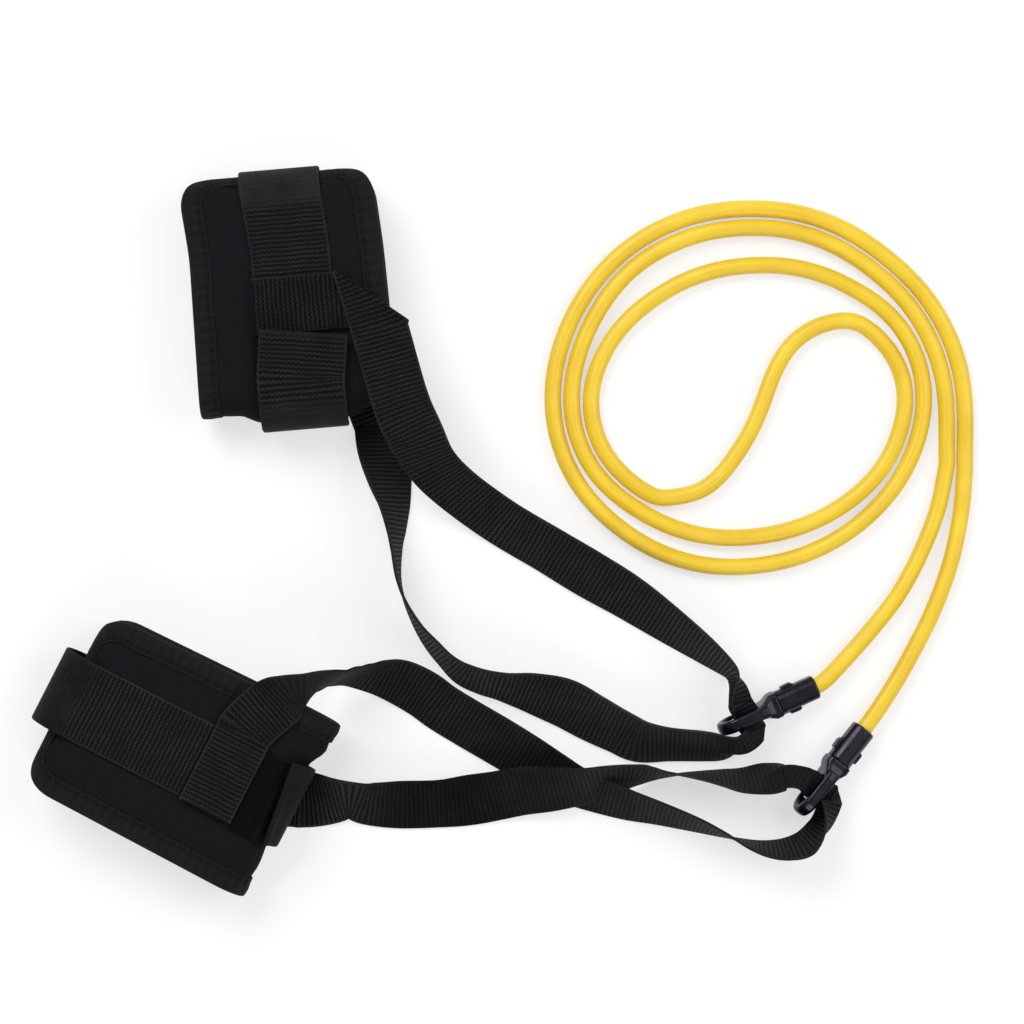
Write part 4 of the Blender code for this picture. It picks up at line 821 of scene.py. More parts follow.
def webbing_finish(name, width):
    """Polypropylene webbing: near black with a dull gloss; thick ribs across where it lies flat, and a close
    plain face where it is drawn round a bend. The piece's rib_depth says how much of each; its painted_shading paints
    shade (above 0, darker with less gloss) or light (below 0, lighter with more gloss)."""
    made, tree, give = new_material(name, 0.6, 0.2)
    across, along = add_node(tree, "ShaderNodeSeparateXYZ", {0: surface_place(tree)}).outputs[:2]
    place = object_place(tree)
    depth, painted_shading_fac = [add_node(tree, "ShaderNodeAttribute", attribute_name=label).outputs["Fac"]
                   for label in ("rib_depth", "painted_shading")]
    zig = maths(tree, "MULTIPLY_ADD", maths(tree, "PINGPONG", across, WARP_PITCH_MM), 0.34, along)
    zig = maths(tree, "MULTIPLY_ADD", speckle(tree, place, 90.0, 1.0), 1.1, zig)
    rib = ranged(tree, wave(tree, "COSINE", zig, RIB_PITCH_MM), 0.0, 1.0, -0.75, 1.0)
    warp = wave(tree, "COSINE", across, WARP_PITCH_MM)
    ribs = maths(tree, "MULTIPLY", rib, ranged(tree, warp, 0.38, 1.0, -1.0, 0.6))
    plain = maths(tree, "MULTIPLY", warp, wave(tree, "COSINE", along, WARP_PITCH_MM))
    plain = ranged(tree, plain, 0.28, 0.7, -1.0, 1.0)
    weave = add_node(tree, "ShaderNodeMix", {0: depth, 2: plain, 3: ribs}).outputs[0]
    edges = [width * 500 - margin for margin in SELVEDGE_MM]
    inside = ranged(tree, maths(tree, "ABSOLUTE", across), 1.0, 0.0, *edges)
    face = add_node(tree, "ShaderNodeMix", {0: inside, 2: 0.55, 3: weave}).outputs[0]
    fuzz = ranged(tree, speckle(tree, place, 1500.0, 3.0), 0.45, 1.2, 0.3, 0.7)
    worn = ranged(tree, speckle(tree, place, 70.0, 2.0), 0.6, 1.25, 0.3, 0.7)
    # Painted shade and light: painted_shading above 0 darkens the colour and the gloss, below 0 lightens them.
    clear = ranged(tree, painted_shading_fac, 1.7, 0.3, -1.0, 1.0)
    tone = face
    for factor in (fuzz, worn, clear):
        tone = maths(tree, "MULTIPLY", tone, factor)
    tone = ranged(tree, tone, 0.0, 1.0, 0.08, 1.0)
    give(Base_Color=blended(tree, tone, "020203", "28272E"), Specular_IOR_Level=maths(tree, "MULTIPLY", clear, 0.2),
         Roughness=ranged(tree, face, 0.95, 0.5),
         Normal=relief(tree, maths(tree, "MULTIPLY_ADD", fuzz, 0.18, face), 1.0, 0.0007))
    return made


def strip_section(width, thickness, count):
    """Section of a strip with round selvedges as (across, height), from one edge over to the other and back."""
    half = width / 2
    roll = min(thickness * 0.8, half)
    places = [half * (2 * k / count - 1) for k in range(count + 1)]
    fine = [-half, -half + roll * 0.12, -half + roll * 0.4, -half + roll]
    places = fine + [p for p in places if abs(p) < half - roll] + [-p for p in fine[::-1]]
    upper, lower = [], []
    for across in places:
        share = max(0.0, (abs(across) - (half - roll)) / roll)
        thick = thickness / 2 * math.sqrt(max(0.0, 1 - share ** 2))
        upper.append((across, thickness / 2 + thick))
        lower.append((across, thickness / 2 - thick))
    return lower + upper[::-1][1:-1]


def station(along, offset, width, rib=0.0, thick=1.0):
    """Place along the wrap, offset of the inner face, width, how far the ribs stand out, share of the thickness."""
    return along, offset + 0.5 * max(0.0, 1 - thick) * WEBBING_THICKNESS, width, rib, thick


def swung(past, across, angle):
    """Drift along and across of a tongue that swings a little to one side past its hinge."""
    turn = math.radians(angle)
    part = held(past / SWING_LENGTH)
    drift = SWING_LENGTH * (part ** 3 - part ** 4 / 2) + max(0.0, past - SWING_LENGTH)
    return across * turn * eased_share(part), drift * turn


def weave_values(piece, depths, painted_shadings):
    """How deep the weave's ribs are at each point, and the painted shade or painted light on its colour, for the
    webbing's finish.
    """
    add_values(piece, "rib_depth", depths)
    add_values(piece, "painted_shading", painted_shadings)


def strip_piece(name, number, stations, width, thickness, finish, shift=0.0, slack=0.0, count=12, swing=0.0,
                painted_shadings=(0.0, 0.0)):
    """Flat strip on a cuff, with ribs and an uneven selvedge where its stations ask for them."""
    section = strip_section(width, thickness, count)
    hinge = hinge_along(CUFFS[number])
    rings, depths = [], []
    for along, offset, wide, rib, thick in stations:
        ridge = math.cos(2000 * math.pi * along / RIB_PITCH_MM)
        uneven = min(1.0, 2 * rib)
        ring = []
        for across, height in section:
            side = across / (width / 2)
            waver = noise.noise(Vector((along * 170, math.copysign(4.0, side), number * 5.0)))
            edge = EDGE_WAVER * uneven * (waver + 0.35 * ridge) * abs(side) ** 8
            spread = shift + side * wide / 2 + math.copysign(edge, side)
            tall = height * thick
            if height > thickness / 2:
                tall += rib * RIB_RELIEF * ridge * (1 - abs(side) ** 12)
            drift_along, drift_across = swung(hinge - along, spread, swing)
            ring.append(on_cuff(number, along + drift_along, spread + drift_across, offset + tall, slack))
        rings.append(ring)
        depths += [rib] * len(section)
    around = [p[0] for p in section] + [section[0][0]]
    piece = loft_piece(name, rings, around, [s[0] for s in stations], finish)
    # Painted shade or light, from the first value where the ribs lie flat to the second where they stand out.
    weave_values(piece, depths, [painted_shadings[0] * (1 - d) + painted_shadings[1] * d for d in depths])
    return piece


def hinge_along(cuff):
    """Where the tongue's hinge lies, along the wrap."""
    return PAD_STRAIGHT + math.radians(cuff["tongue_hinge"]) * PAD_BEND_RADIUS


def tongue_share(along):
    """How fully the strap stands off for the closure: all on the top, eased down the fold, none below."""
    return held(STAND_OFF_SLOPE * (UNDER_START - along) / (UNDER_START - PAD_STRAIGHT))


def tongue_offset(along):
    """Offset of the strap's inner face: over the closure's layers on the top, on the pad below."""
    return BELT_OFFSET + (TONGUE_OFFSET - BELT_OFFSET) * tongue_share(along)


def strap_width(along):
    return BELT_WIDTH + (TONGUE_WIDTH - BELT_WIDTH) * tongue_share(along)


def fine_stations(start, end, step):
    """Even lengths from start to end, about a step apart."""
    return steps_between(start, end, max(2, int(abs(end - start) / step)))


def bend_ribs(along, slack):
    """Ribs stand out on the flats and draw flat round both bends."""
    end, over = closed_end(slack)
    fold = 1 - eased_share((along - PAD_STRAIGHT - RIB_FOLD_START) / RIB_FOLD_FADE)
    fold += eased_share((along - UNDER_START) / RIB_FADE)
    back = 1 - eased_share((along - end) / RIB_FADE)
    back += eased_share((along - over + RIB_BACK_START) / RIB_BACK_FADE)
    return RIB_LEAST + (RIB_MOST - RIB_LEAST) * held(min(fold, back))


belt_webbing = webbing_finish("belt_webbing", BELT_WIDTH)
for number, cuff in CUFFS.items():
    slack = cuff["belt_slack"]
    end, over = closed_end(slack)
    last = over + slack + cuff["patch"] + BRIDLE_WIDTH / 2
    places = fine_stations(STRAP_START, UNDER_START, BELT_STEP) + fine_stations(UNDER_START, end, BELT_STEP)[1:]
    places += fine_stations(end, over, BEND_STEP)[1:] + fine_stations(over, last, FINE_STEP)[1:]
    stations = [station(along, tongue_offset(along), strap_width(along), bend_ribs(along, slack)) for along in places]
    # Painted shade on the belt where it is drawn round the bends, none where it lies flat.
    belt = strip_piece(f"belt_webbing_{number}", number, stations, BELT_WIDTH, WEBBING_THICKNESS, belt_webbing,
                       slack=slack, painted_shadings=(cuff["bend_painted_shading"], 0.0))
    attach(belt, "tether")
    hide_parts(f"belt_{number}")

# Hook and loop closure: a loop strip sewn on the pad's top in line with the belt, and a hook strip
# sewn under the tongue. The loop side is a dense pile of crimped nylon that stands up in tufts and
# drinks the light; the hook side is moulded nylon with rows of small hooks.
PILE_HEIGHT = 0.00055
PILE_UNDER = 0.00024
PILE_SPACING = 0.00062
PILE_THREAD = 0.00009
LEAST_OPEN = 0.003
PRESSED_EDGE = 0.002
PILE_SEED = 7
SCATTER_SEED = 7
LOOP_CLOSE = 0.35
HOOK_ROW_PITCH = 0.0016
HOOK_HEIGHT = 0.00022
HOOK_THREAD = 0.00008
SINK = 0.00004
TIP_ROUND = 0.0012
TIP_PLAIN, TIP_PLAIN_EASE = 0.0022, 0.002
TIP_NARROWING = 0.0006
TIP_RIB, TIP_THIN = 0.08, 0.25
LOOP_ENDS_BEFORE = 15
PILE_INSET, PILE_SIDES = 0.0004, 0.001
ROWS_INSET, ROWS_SIDES = 0.0006, 0.002
HOOK_STRIP_FLOOR = BELT_OFFSET + LOOP_STRIP_THICKNESS + 2 * CLEARANCE


def pile_finish():
    """Brushed nylon loop pile: very dark and fuzzy."""
    made, tree, give = new_material("brushed_loop_pile", 1.0, 0.05)
    place = object_place(tree)
    tufts = add_node(tree, "ShaderNodeTexVoronoi", {"Vector": place, "Scale": 900.0, "Randomness": 1.0}).outputs[0]
    fuzz = speckle(tree, place, 1800.0, 4.0)
    give(Base_Color=blended(tree, fuzz, "050506", "1C1B20"),
         Normal=relief(tree, maths(tree, "ADD", tufts, fuzz), 1.0, 0.0006))
    return made


def pile_tree():
    """Geometry nodes that stand a bent loop of thread on each point, turned and sized at random."""
    tree, entry = new_group("pile", {"Loop Height": PILE_HEIGHT, "Thread": PILE_THREAD, "Seed": PILE_SEED})

    def node(kind, inputs, **settings):
        return add_node(tree, kind, inputs, **settings).outputs[0]

    def chance(low, high):
        inputs = {2: low, 3: high, "Seed": entry["Seed"]}
        return add_node(tree, "FunctionNodeRandomValue", inputs, data_type="FLOAT").outputs[1]

    arc = node("GeometryNodeCurveArc", {"Resolution": 5, "Radius": 1.0, "Start Angle": -LOOP_CLOSE,
                                        "Sweep Angle": math.pi + 2 * LOOP_CLOSE})
    share = maths(tree, "DIVIDE", entry["Thread"], entry["Loop Height"])
    around = node("GeometryNodeCurvePrimitiveCircle", {"Resolution": 3, "Radius": 1.0})
    thin = node("ShaderNodeCombineXYZ", {0: share, 1: share, 2: share})
    around = node("GeometryNodeTransform", {"Geometry": around, "Scale": thin})
    loop = node("GeometryNodeCurveToMesh", {"Curve": arc, "Profile Curve": around, "Fill Caps": True})
    stand = node("GeometryNodeTransform", {"Geometry": loop, "Rotation": (math.pi / 2, 0.0, 0.0)})
    normal = node("GeometryNodeInputNamedAttribute", {"Name": "pile_up"}, data_type="FLOAT_VECTOR")
    upright = node("FunctionNodeAlignRotationToVector", {"Vector": normal}, axis="Z")
    spin = node("ShaderNodeCombineXYZ", {2: chance(0.0, 2 * math.pi)})
    spin = node("FunctionNodeEulerToRotation", {0: spin})
    facing = node("FunctionNodeRotateRotation", {0: upright, 1: spin}, rotation_space="LOCAL")
    size = maths(tree, "MULTIPLY", chance(0.6, 1.0), entry["Loop Height"])
    return lay_copies(tree, entry, entry["Geometry"], stand, facing, size)


def stand_loops(name, spots, finish, height, thread_radius, body):
    """Loops of thread, or small hooks, standing at spots given as (place, outward direction)."""
    mesh = bpy.data.meshes.new(name + "_spots")
    mesh.from_pydata([tuple(p) for p, n in spots], [], [])
    layer = mesh.attributes.new("pile_up", "FLOAT_VECTOR", "POINT")
    layer.data.foreach_set("vector", [c for p, n in spots for c in n])
    piece = built(name, mesh, pile_loops,
                  {"Loop Height": height, "Thread": thread_radius, "Seed": PILE_SEED, "Finish": finish})
    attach(piece, body)


def scattered(number, start, end, width, shift, offset, spacing, inward=False, swing=0.0, wander=0.35):
    """Spots over a strip of the cuff, a little out of their rows, with the direction off its face."""
    hinge = hinge_along(CUFFS[number])
    spots = []
    for row in range(max(2, int((end - start) / spacing))):
        for column in range(int(width / spacing)):
            shake = noise.noise_vector(Vector((row * 3.7, column * 5.3, number * 11.0)))
            along = start + (row + 0.5 + wander * shake.x) * spacing
            across = shift - width / 2 + (column + 0.5 + wander * shake.y) * spacing
            drift_along, drift_across = swung(hinge - along, across, swing)
            low, high = [on_cuff(number, along + drift_along, across + drift_across, offset(along) + lift)
                         for lift in (0.0, 0.001)]
            out = (high - low).normalized()
            spots.append((low, out * -1 if inward else out))
    return spots


def hook_strip_offset(along):
    """Offset of the hook strip: under the strap, and never into the loop strip."""
    return max(HOOK_STRIP_FLOOR, tongue_offset(along) - HOOK_STRIP_THICKNESS - CLEARANCE)


# With a seed of its own the scatter's noise is the same in each run.
noise.seed_set(SCATTER_SEED)
pile = pile_finish()
# Moulded nylon hook tape: a flat base with a dull gloss between the rows of hooks.
hook_tape = grained_finish("moulded_hook_tape", (0.6, 0.3), (700.0, 2.0), ("0C0C0F", "25242A"), rough=(0.45, 0.75),
                           bump=(0.6, 0.0002))
pile_loops = pile_tree()
tongue_webbing = webbing_finish("tongue_webbing", TONGUE_WIDTH)
for number, cuff in CUFFS.items():
    hinge = hinge_along(cuff)
    swing = cuff["tongue_swing"]
    first = cuff["patch"] + BRIDLE_WIDTH / 2 + CLEARANCE
    last = max(PAD_STRAIGHT, hinge - math.radians(LOOP_ENDS_BEFORE) * PAD_BEND_RADIUS)
    stations = [station(along, BELT_OFFSET + CLEARANCE, LOOP_STRIP_WIDTH)
                for along in fine_stations(first, last, STRIP_STEP)]
    loops = strip_piece(f"loop_tape_{number}", number, stations, LOOP_STRIP_WIDTH, LOOP_STRIP_THICKNESS, pile,
                        LOOP_STRIP_SHIFT, count=24)
    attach(loops, "tether")
    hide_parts(f"loop_strip_{number}")
    end = cuff["tongue_end"]
    if end > PAD_STRAIGHT:
        end = PAD_STRAIGHT + math.asin((end - PAD_STRAIGHT) / (PAD_BEND_RADIUS + TONGUE_OFFSET)) * PAD_BEND_RADIUS
    end += cuff["tongue_trim"]
    top = BELT_OFFSET + CLEARANCE + LOOP_STRIP_THICKNESS - SINK
    bare = max(first, end - PRESSED_EDGE)
    # The pile stands free up to the tongue's end and lies pressed under the tongue.
    for label, near, far, height, radius in (("open", first + PILE_INSET, bare, PILE_HEIGHT, PILE_THREAD),
                                             ("held", bare, last - PILE_INSET, PILE_UNDER, PILE_THREAD * 0.7)):
        if label == "held" or bare - first > LEAST_OPEN:
            spots = scattered(number, near, far, LOOP_STRIP_WIDTH - PILE_SIDES, LOOP_STRIP_SHIFT,
                              lambda along: top, PILE_SPACING)
            stand_loops(f"loop_pile_{label}_{number}", spots, pile, height, radius, "tether")

    # The tongue ends in a thick round lip without ribs, a little clear of the pile.
    places = [end + TIP_ROUND * k / 6 for k in range(6)] + fine_stations(end + TIP_ROUND, STRAP_START, FINE_STEP)
    stations = []
    for along in places:
        depth = along - end
        lip = 1 + (LIP_SWELL - 1) * (1 - eased_share((depth - LIP_LENGTH / 2) / LIP_LENGTH))
        rounded = math.sqrt(max(0.0, 1 - (1 - min(1.0, depth / TIP_ROUND)) ** 2))
        lift = TONGUE_TIP_LIFT * max(0.0, 1 - depth / TIP_LIFT_LENGTH) ** 2
        rib = bend_ribs(along, 0.0) * eased_share((depth - TIP_PLAIN) / TIP_PLAIN_EASE)
        wide = strap_width(along) - TIP_NARROWING * (1 - rounded)
        thick = lip * max(TIP_THIN, rounded)
        stations.append(station(along, tongue_offset(along) + lift, wide, max(TIP_RIB, rib), thick))
    # Painted shade over the whole tongue.
    tongue = strip_piece(f"tongue_webbing_{number}", number, stations, TONGUE_WIDTH, WEBBING_THICKNESS,
                         tongue_webbing, swing=swing, painted_shadings=(cuff["tongue_painted_shading"], cuff["tongue_painted_shading"]))
    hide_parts(f"tongue_{number}")
    middle = tongue_offset(hinge) + WEBBING_THICKNESS / 2
    before = on_cuff(number, hinge + TONGUE_BEND_REACH, 0.0, middle)
    after = on_cuff(number, hinge - TONGUE_BEND_REACH, 0.0, middle)
    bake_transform(tongue)

    # The hook strip lies under the tongue, with its rows of hooks facing down.
    strip_end = end + HOOK_STRIP_INSET
    stations = [station(along, hook_strip_offset(along), HOOK_STRIP_WIDTH)
                for along in fine_stations(strip_end, hinge - HOOK_STRIP_INSET, STRIP_STEP)]
    hooks = strip_piece(f"hook_tape_{number}", number, stations, HOOK_STRIP_WIDTH, HOOK_STRIP_THICKNESS, hook_tape,
                        swing=swing)
    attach(hooks, f"tongue_{number}")
    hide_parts(f"hook_strip_{number}")
    spots = scattered(number, strip_end + ROWS_INSET, hinge - HOOK_STRIP_INSET - ROWS_INSET,
                      HOOK_STRIP_WIDTH - ROWS_SIDES, 0.0, lambda along: hook_strip_offset(along) + SINK,
                      HOOK_ROW_PITCH, inward=True, swing=swing, wander=0.04)
    stand_loops(f"hook_rows_{number}", spots, hook_tape, HOOK_HEIGHT, HOOK_THREAD, f"tongue_{number}")

# Bridles: one 30 mm strip of webbing to each cuff. One end is sewn over the belt as a patch, the
# strip runs through the hook's eye folded double, and the other end is sewn under the cuff.
GATHER_ALONG = 0.0404
GATHER_SQUEEZE = 0.92
GATHER_BEND_RADIUS = 0.0011
GATHER_ANGLE = 180.0
GATHER_SAG = 0.0003
GATHER_LIFT = 0.00004
GATHER_SHARES = ((-2.1, 125.0), (-1.0, 180.0), (0.0, 180.0), (1.0, 180.0), (2.1, 125.0))
HOOK_HALF_WIDTH = 0.0035
ARM_HALF_THICKNESS = 0.00225
BOW_RADIUS = 0.00775
CREASE_START = 0.0210
CREASE_TURN = 78.0
STRAND_STEPS = 8
CREASE_STEPS = 10
# Painted shade on a bridle's sewn end.
SEWN_PAINTED_SHADING = 0.3
FOLD_HEIGHT_GONE = 260
FLAT_FOLD = 1e-6
# Routes are rows of (pixel, height, tilt) above the floor, and on it (pixel, tilt), with the fold and the
# lift after them where there are any; painted shading (painted shade above 0, painted light below 0) and ribs are
# rows of (station, value).
BRIDLE_1_DOWN = (
    ((401, 400), 0.0412, 180), ((414.5, 432), 0.0375, 176), ((430, 462), 0.0285, 152),
    ((455, 488), 0.0190, 146), ((500, 521), 0.0105, 146), ((548, 549.5), 0.0095, 146),
    ((588, 573.5), 0.0095, 148), ((629.5, 598), 0.0100, 142), ((673.5, 628), 0.0123, 129),
    ((709, 653.5), 0.0140, 116), ((731, 672), 0.0150, 104),
)
BRIDLE_1_BACK = (
    ((743, 746), 78, 70), ((727, 749.5), 64, 20), ((705, 746.5), 56, 0), ((668, 744.5), 51, 0),
    ((638.5, 741), 39, 0), ((618, 731.5), 37, 0), ((592.5, 718.5), 31, 0), ((563.5, 703), 29, 0),
    ((531, 692.5), 44, 0), ((504, 687), 58, 0), ((482.5, 682), 62, 0), ((463, 674), 65, 0),
    ((446.5, 661), 72, 0), ((432, 645), 75, 0), ((418.5, 627), 81, 0), ((405.5, 602), 87, 0),
    ((398.5, 578), 92, 0), ((396.5, 549), 99, 0), ((396, 529), 108, 0), ((394, 505), 121, 0),
    ((389, 480), 138, 0), ((384, 450), 160, 0),
)
BRIDLE_2_OUT = (
    ((262, 714), 0.0400, -3), ((275.5, 703), 0.0415, -11), ((285, 696.5), 0.0446, -26),
    ((296.5, 691.5), 0.0470, -42), ((308.5, 688), 0.0462, -57), ((321, 683.5), 0.0418, -72),
    ((333, 679.5), 0.0350, -83), ((345, 675.5), 0.0270, -82), ((358.5, 674), 0.0196, -71),
    ((377, 676), 0.0134, -52), ((399, 682), 0.0100, -35),
)
BRIDLE_2_FLOOR = (
    ((422, 694), -29), ((441.5, 708), -29), ((463.5, 721.5), -29), ((497, 741), -29), ((527, 759), -31),
    ((556, 776.5), -36), ((581.5, 789), -44), ((624.5, 804), -54), ((657.5, 813), -63), ((697, 825), -73),
    ((724.5, 835), -83), ((748, 844), -94), ((768, 849), -102), ((788, 849), -108), ((806, 843), -112),
)
BRIDLE_2_BACK = (
    ((787, 772.5), -66, 60, 0.0030), ((768, 777.5), -60, 12, 0.0010), ((743.5, 780.5), -68, 0, 0.0),
    ((722, 778), -77, 0, 0.0), ((704.5, 776), -84, 0, 0.0), ((682, 774.5), -92, 0, 0.0),
    ((662.5, 774.5), -100, 0, 0.0), ((646, 775), -110, 0, 0.0015), ((630, 776.5), -117, 0, 0.0040),
    ((606, 780), -124, 0, 0.0065), ((584, 785), -132, 0, 0.0070), ((555.5, 788.5), -142, 0, 0.0060),
    ((524.5, 791), -151, 0, 0.0035), ((496.5, 796.5), -153, 0, 0.0010), ((469.5, 801), -156, 0, 0.0),
    ((439, 804.5), -150, 0, 0.0), ((401, 805.5), -150, 0, 0.0), ((370, 804.5), -142, 0, 0.0),
    ((343, 800), -136, 0, 0.0),
)
# Painted shade (above 0) and painted light (below 0) along each bridle's free strand.
BRIDLE_1_PAINTED_SHADING = ((0, 0.1), (2, -0.1), (6, -0.15), (8, -0.1), (10, -0.6), (13, 0.0), (18, 0.1), (20, -0.9),
                     (22, -0.9), (25, -0.35), (30, 0.0))
BRIDLE_1_RIBS = ((0, 1.0), (14, 1.0), (17, 0.35), (19, 0.4), (22, 0.7), (26, 1.0))
BRIDLE_2_PAINTED_SHADING = ((0, 0.0), (14, 0.1), (17, 0.15), (20, 0.4), (23, 0.3), (26, 0.0), (33, 0.1), (35, 0.4),
                     (37, 0.3), (39, -0.4), (42, -0.3), (45, 0.05), (48, 0.5), (50, 0.75), (52, 0.7), (54, -0.3))
BRIDLE_2_RIBS = ((0, 1.0), (5, 1.0), (8, 0.2), (10, 0.2), (13, 0.9), (17, 0.8), (20, 0.5), (24, 0.6), (28, 0.8),
                 (33, 0.8), (35, 0.35), (37, 0.35), (40, 0.7), (45, 0.5), (48, 0.4), (52, 0.5), (54, 1.0))
HOOK_APPROACH_1 = ((738, 686), 0.0148, 92.0, 60.0)
HOOK_APPROACH_2 = ((823, 826), 0.0135, -104.0, 60.0)
REAR_REACH = 0.0600
REAR_SLOPE_1, REAR_ACROSS_1 = 15.0, 0.0375
REAR_SLOPE_2, REAR_ACROSS_2 = 24.0, 0.0015
PATCH_LEAD = LOOP_STRIP_WIDTH / 9

ribbon_section = strip_section(BRIDLE_WIDTH, WEBBING_THICKNESS, 24)


def between(table, place):
    """Value at a place in a table of (place, value), held beyond both ends."""
    if place <= table[0][0]:
        return table[0][1]
    for (near, low), (far, high) in zip(table, table[1:]):
        if place <= far:
            return low + (high - low) * (place - near) / (far - near)
    return table[-1][1]


def webbing_ring(centre, across, normal, fold, stretch=1.0):
    """Closed ring of the webbing's section, bent round its middle by an angle."""
    total = math.radians(fold) / 2
    bend = GATHER_BEND_RADIUS * math.pi / 2
    squeeze = 1 - (1 - GATHER_SQUEEZE) * fold / GATHER_ANGLE
    far = BRIDLE_WIDTH / 2 * squeeze
    deep = 0.0
    if total > FLAT_FOLD:
        deep = (bend / total) * (1 - math.cos(total)) + (far - bend) * math.sin(total)
    ring = []
    for place, height in ribbon_section:
        place *= squeeze
        lift = height - WEBBING_THICKNESS / 2
        if total <= FLAT_FOLD:
            x, y, nx, ny = place, 0.0, 0.0, 1.0
        else:
            angle = total * max(-1.0, min(1.0, place / bend))
            radius = bend / total
            past = max(0.0, abs(place) - bend)
            x = radius * math.sin(angle) + (math.copysign(past * math.cos(total), place) if past else 0.0)
            y = radius * (1 - math.cos(angle)) + past * math.sin(total)
            nx, ny = -math.sin(angle), math.cos(angle)
        ring.append(centre + (across * x * stretch + normal * (y - deep / 2)) + (across * nx + normal * ny) * lift)
    return ring


def ribbon_rings(stations, steps):
    """Rings along a free strand; a station is (centre, tilt, fold) and its directions where fixed."""
    centres, tilts, folds = [smooth([s[k] for s in stations], steps) for k in range(3)]
    rings = []
    up = Vector((0, 0, 1))
    for k, centre in enumerate(centres):
        near = stations[k // steps]
        far = stations[min(len(stations) - 1, math.ceil(k / steps))]
        fold = max(0.0, min(GATHER_ANGLE, folds[k]))
        if len(near) > 3 and len(far) > 3:
            rings.append(webbing_ring(centre, *near[3], fold))
            continue
        run = (centres[min(len(centres) - 1, k + 1)] - centres[max(0, k - 1)]).normalized()
        side = run.cross(up).normalized()
        tilt = math.radians(tilts[k])
        across = side * math.cos(tilt) + up * math.sin(tilt)
        across = (across - run * across.dot(run)).normalized()
        ring = webbing_ring(centre, across, run.cross(across), fold)
        lowest = min(p.z for p in ring)
        if lowest < 0.0:
            ring = [p - up * lowest for p in ring]
        rings.append(ring)
    return rings, running_length(centres)


def floor_station(pixel, tilt, fold=0.0, lift=0.0):
    """A station of a strand that rests on the floor, as high as its tilt and fold make it."""
    half = BRIDLE_WIDTH / 2 * abs(math.sin(math.radians(tilt))) * (1 - fold / FOLD_HEIGHT_GONE)
    half += WEBBING_THICKNESS / 2 * abs(math.cos(math.radians(tilt)))
    return (lay(pixel, half + lift), tilt, fold)


def hook_stations(matrix, direction):
    """Stations of the folded webbing through a hook's eye, with directions fixed in the hook's frame."""
    reach = HOOK_HALF_WIDTH + 2 * CLEARANCE
    drop = BOW_RADIUS - ARM_HALF_THICKNESS - CLEARANCE - GATHER_BEND_RADIUS - WEBBING_THICKNESS / 2
    turn = matrix.to_3x3()
    across = turn @ Vector((0, -direction, 0))
    normal = turn @ Vector((1, 0, 0))
    out = []
    for share, fold in GATHER_SHARES:
        place = matrix @ Vector((GATHER_ALONG, drop - abs(share) * GATHER_SAG, direction * share * reach))
        out.append((place, -90.0 * direction, fold, (across, normal)))
    return out


def rear_stations(place, slope, across_at_fold, tilt):
    """Stations of the other end, flat on the floor under the cuff and at a slope across it."""
    height = WEBBING_THICKNESS / 2 - CUFF_AXIS_HEIGHT
    edge = PAD_STRAIGHT + PAD_BEND_RADIUS
    out = []
    for share in (-0.1, 0.0, 0.5, 1.0):
        along = edge - REAR_REACH * share
        across = across_at_fold - math.tan(math.radians(slope)) * REAR_REACH * share
        out.append((place @ Vector((along, across, height)), tilt, 0.0))
    return out


def crease_rings(place, cuff):
    """Bridle 1 from its sewn end over the belt, folded over on a slanting crease."""
    height = PAD_BEND_RADIUS + PATCH_OFFSET + WEBBING_THICKNESS / 2
    turn = place.to_3x3()
    half = BRIDLE_WIDTH / 2
    near, far = cuff["patch"] - half, cuff["patch"] + half
    lead = BRIDLE_WIDTH / math.tan(math.radians(CREASE_TURN / 2))
    up = Vector((0, 0, 1))
    along = turn @ Vector((1, 0, 0))
    rings, lengths = [], []
    for across in steps_between(-BELT_WIDTH / 2 - LOOP_STRIP_THICKNESS, CREASE_START - CLEARANCE, CREASE_STEPS):
        rings.append(webbing_ring(place @ Vector((cuff["patch"], across, height)), along, up, 0.0))
        lengths.append(across)
    corner_near = place @ Vector((near, CREASE_START, height))
    corner_far = place @ Vector((far, CREASE_START + lead, height))
    crease = (corner_far - corner_near).normalized()
    outward = crease.cross(up) * -1
    stretch = (corner_far - corner_near).length / BRIDLE_WIDTH
    middle = (corner_near + corner_far) / 2
    radius = LAYER_PITCH / 2
    for k in range(CREASE_STEPS + 1):
        turn_angle = math.pi * k / CREASE_STEPS
        centre = middle + outward * radius * math.sin(turn_angle) + up * radius * (1 - math.cos(turn_angle))
        normal = up * math.cos(turn_angle) - outward * math.sin(turn_angle)
        rings.append(webbing_ring(centre, crease, normal, 0.0, stretch))
        lengths.append([CREASE_START + lead * (p[0] / BRIDLE_WIDTH + 0.5) + radius * turn_angle
                        for p in ribbon_section])
    leave = turn @ Vector((math.sin(math.radians(CREASE_TURN)), math.cos(math.radians(CREASE_TURN)), 0))
    start = corner_far + up * LAYER_PITCH + leave * CLEARANCE + leave.cross(up) * half
    return rings, lengths, start, CREASE_START + lead + LAYER_PITCH


def bridle_piece(number, strand, ribs, painted_shading, rings=(), lengths=(), begun=0.0):
    """The strip as one skin: rings of its sewn end where it has some, then those of its free strand."""
    free_rings, free_lengths = ribbon_rings(strand, STRAND_STEPS)
    piece = loft_piece(f"bridle_webbing_{number}", [*rings, *free_rings], ribbon_across,
                       [*lengths, *(begun + v for v in free_lengths)], bridle_webbing)
    sewn = len(rings) * len(ribbon_section)
    # Painted shade on the sewn end; painted shade and light along the free strand.
    depths, painted_shadings = [1.0] * sewn, [SEWN_PAINTED_SHADING] * sewn
    for k in range(len(free_rings)):
        depths += [between(ribs, k / STRAND_STEPS)] * len(ribbon_section)
        painted_shadings += [between(painted_shading, k / STRAND_STEPS)] * len(ribbon_section)
    weave_values(piece, depths, painted_shadings)
    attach(piece, "tether")
    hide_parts(f"bridle_{number}")


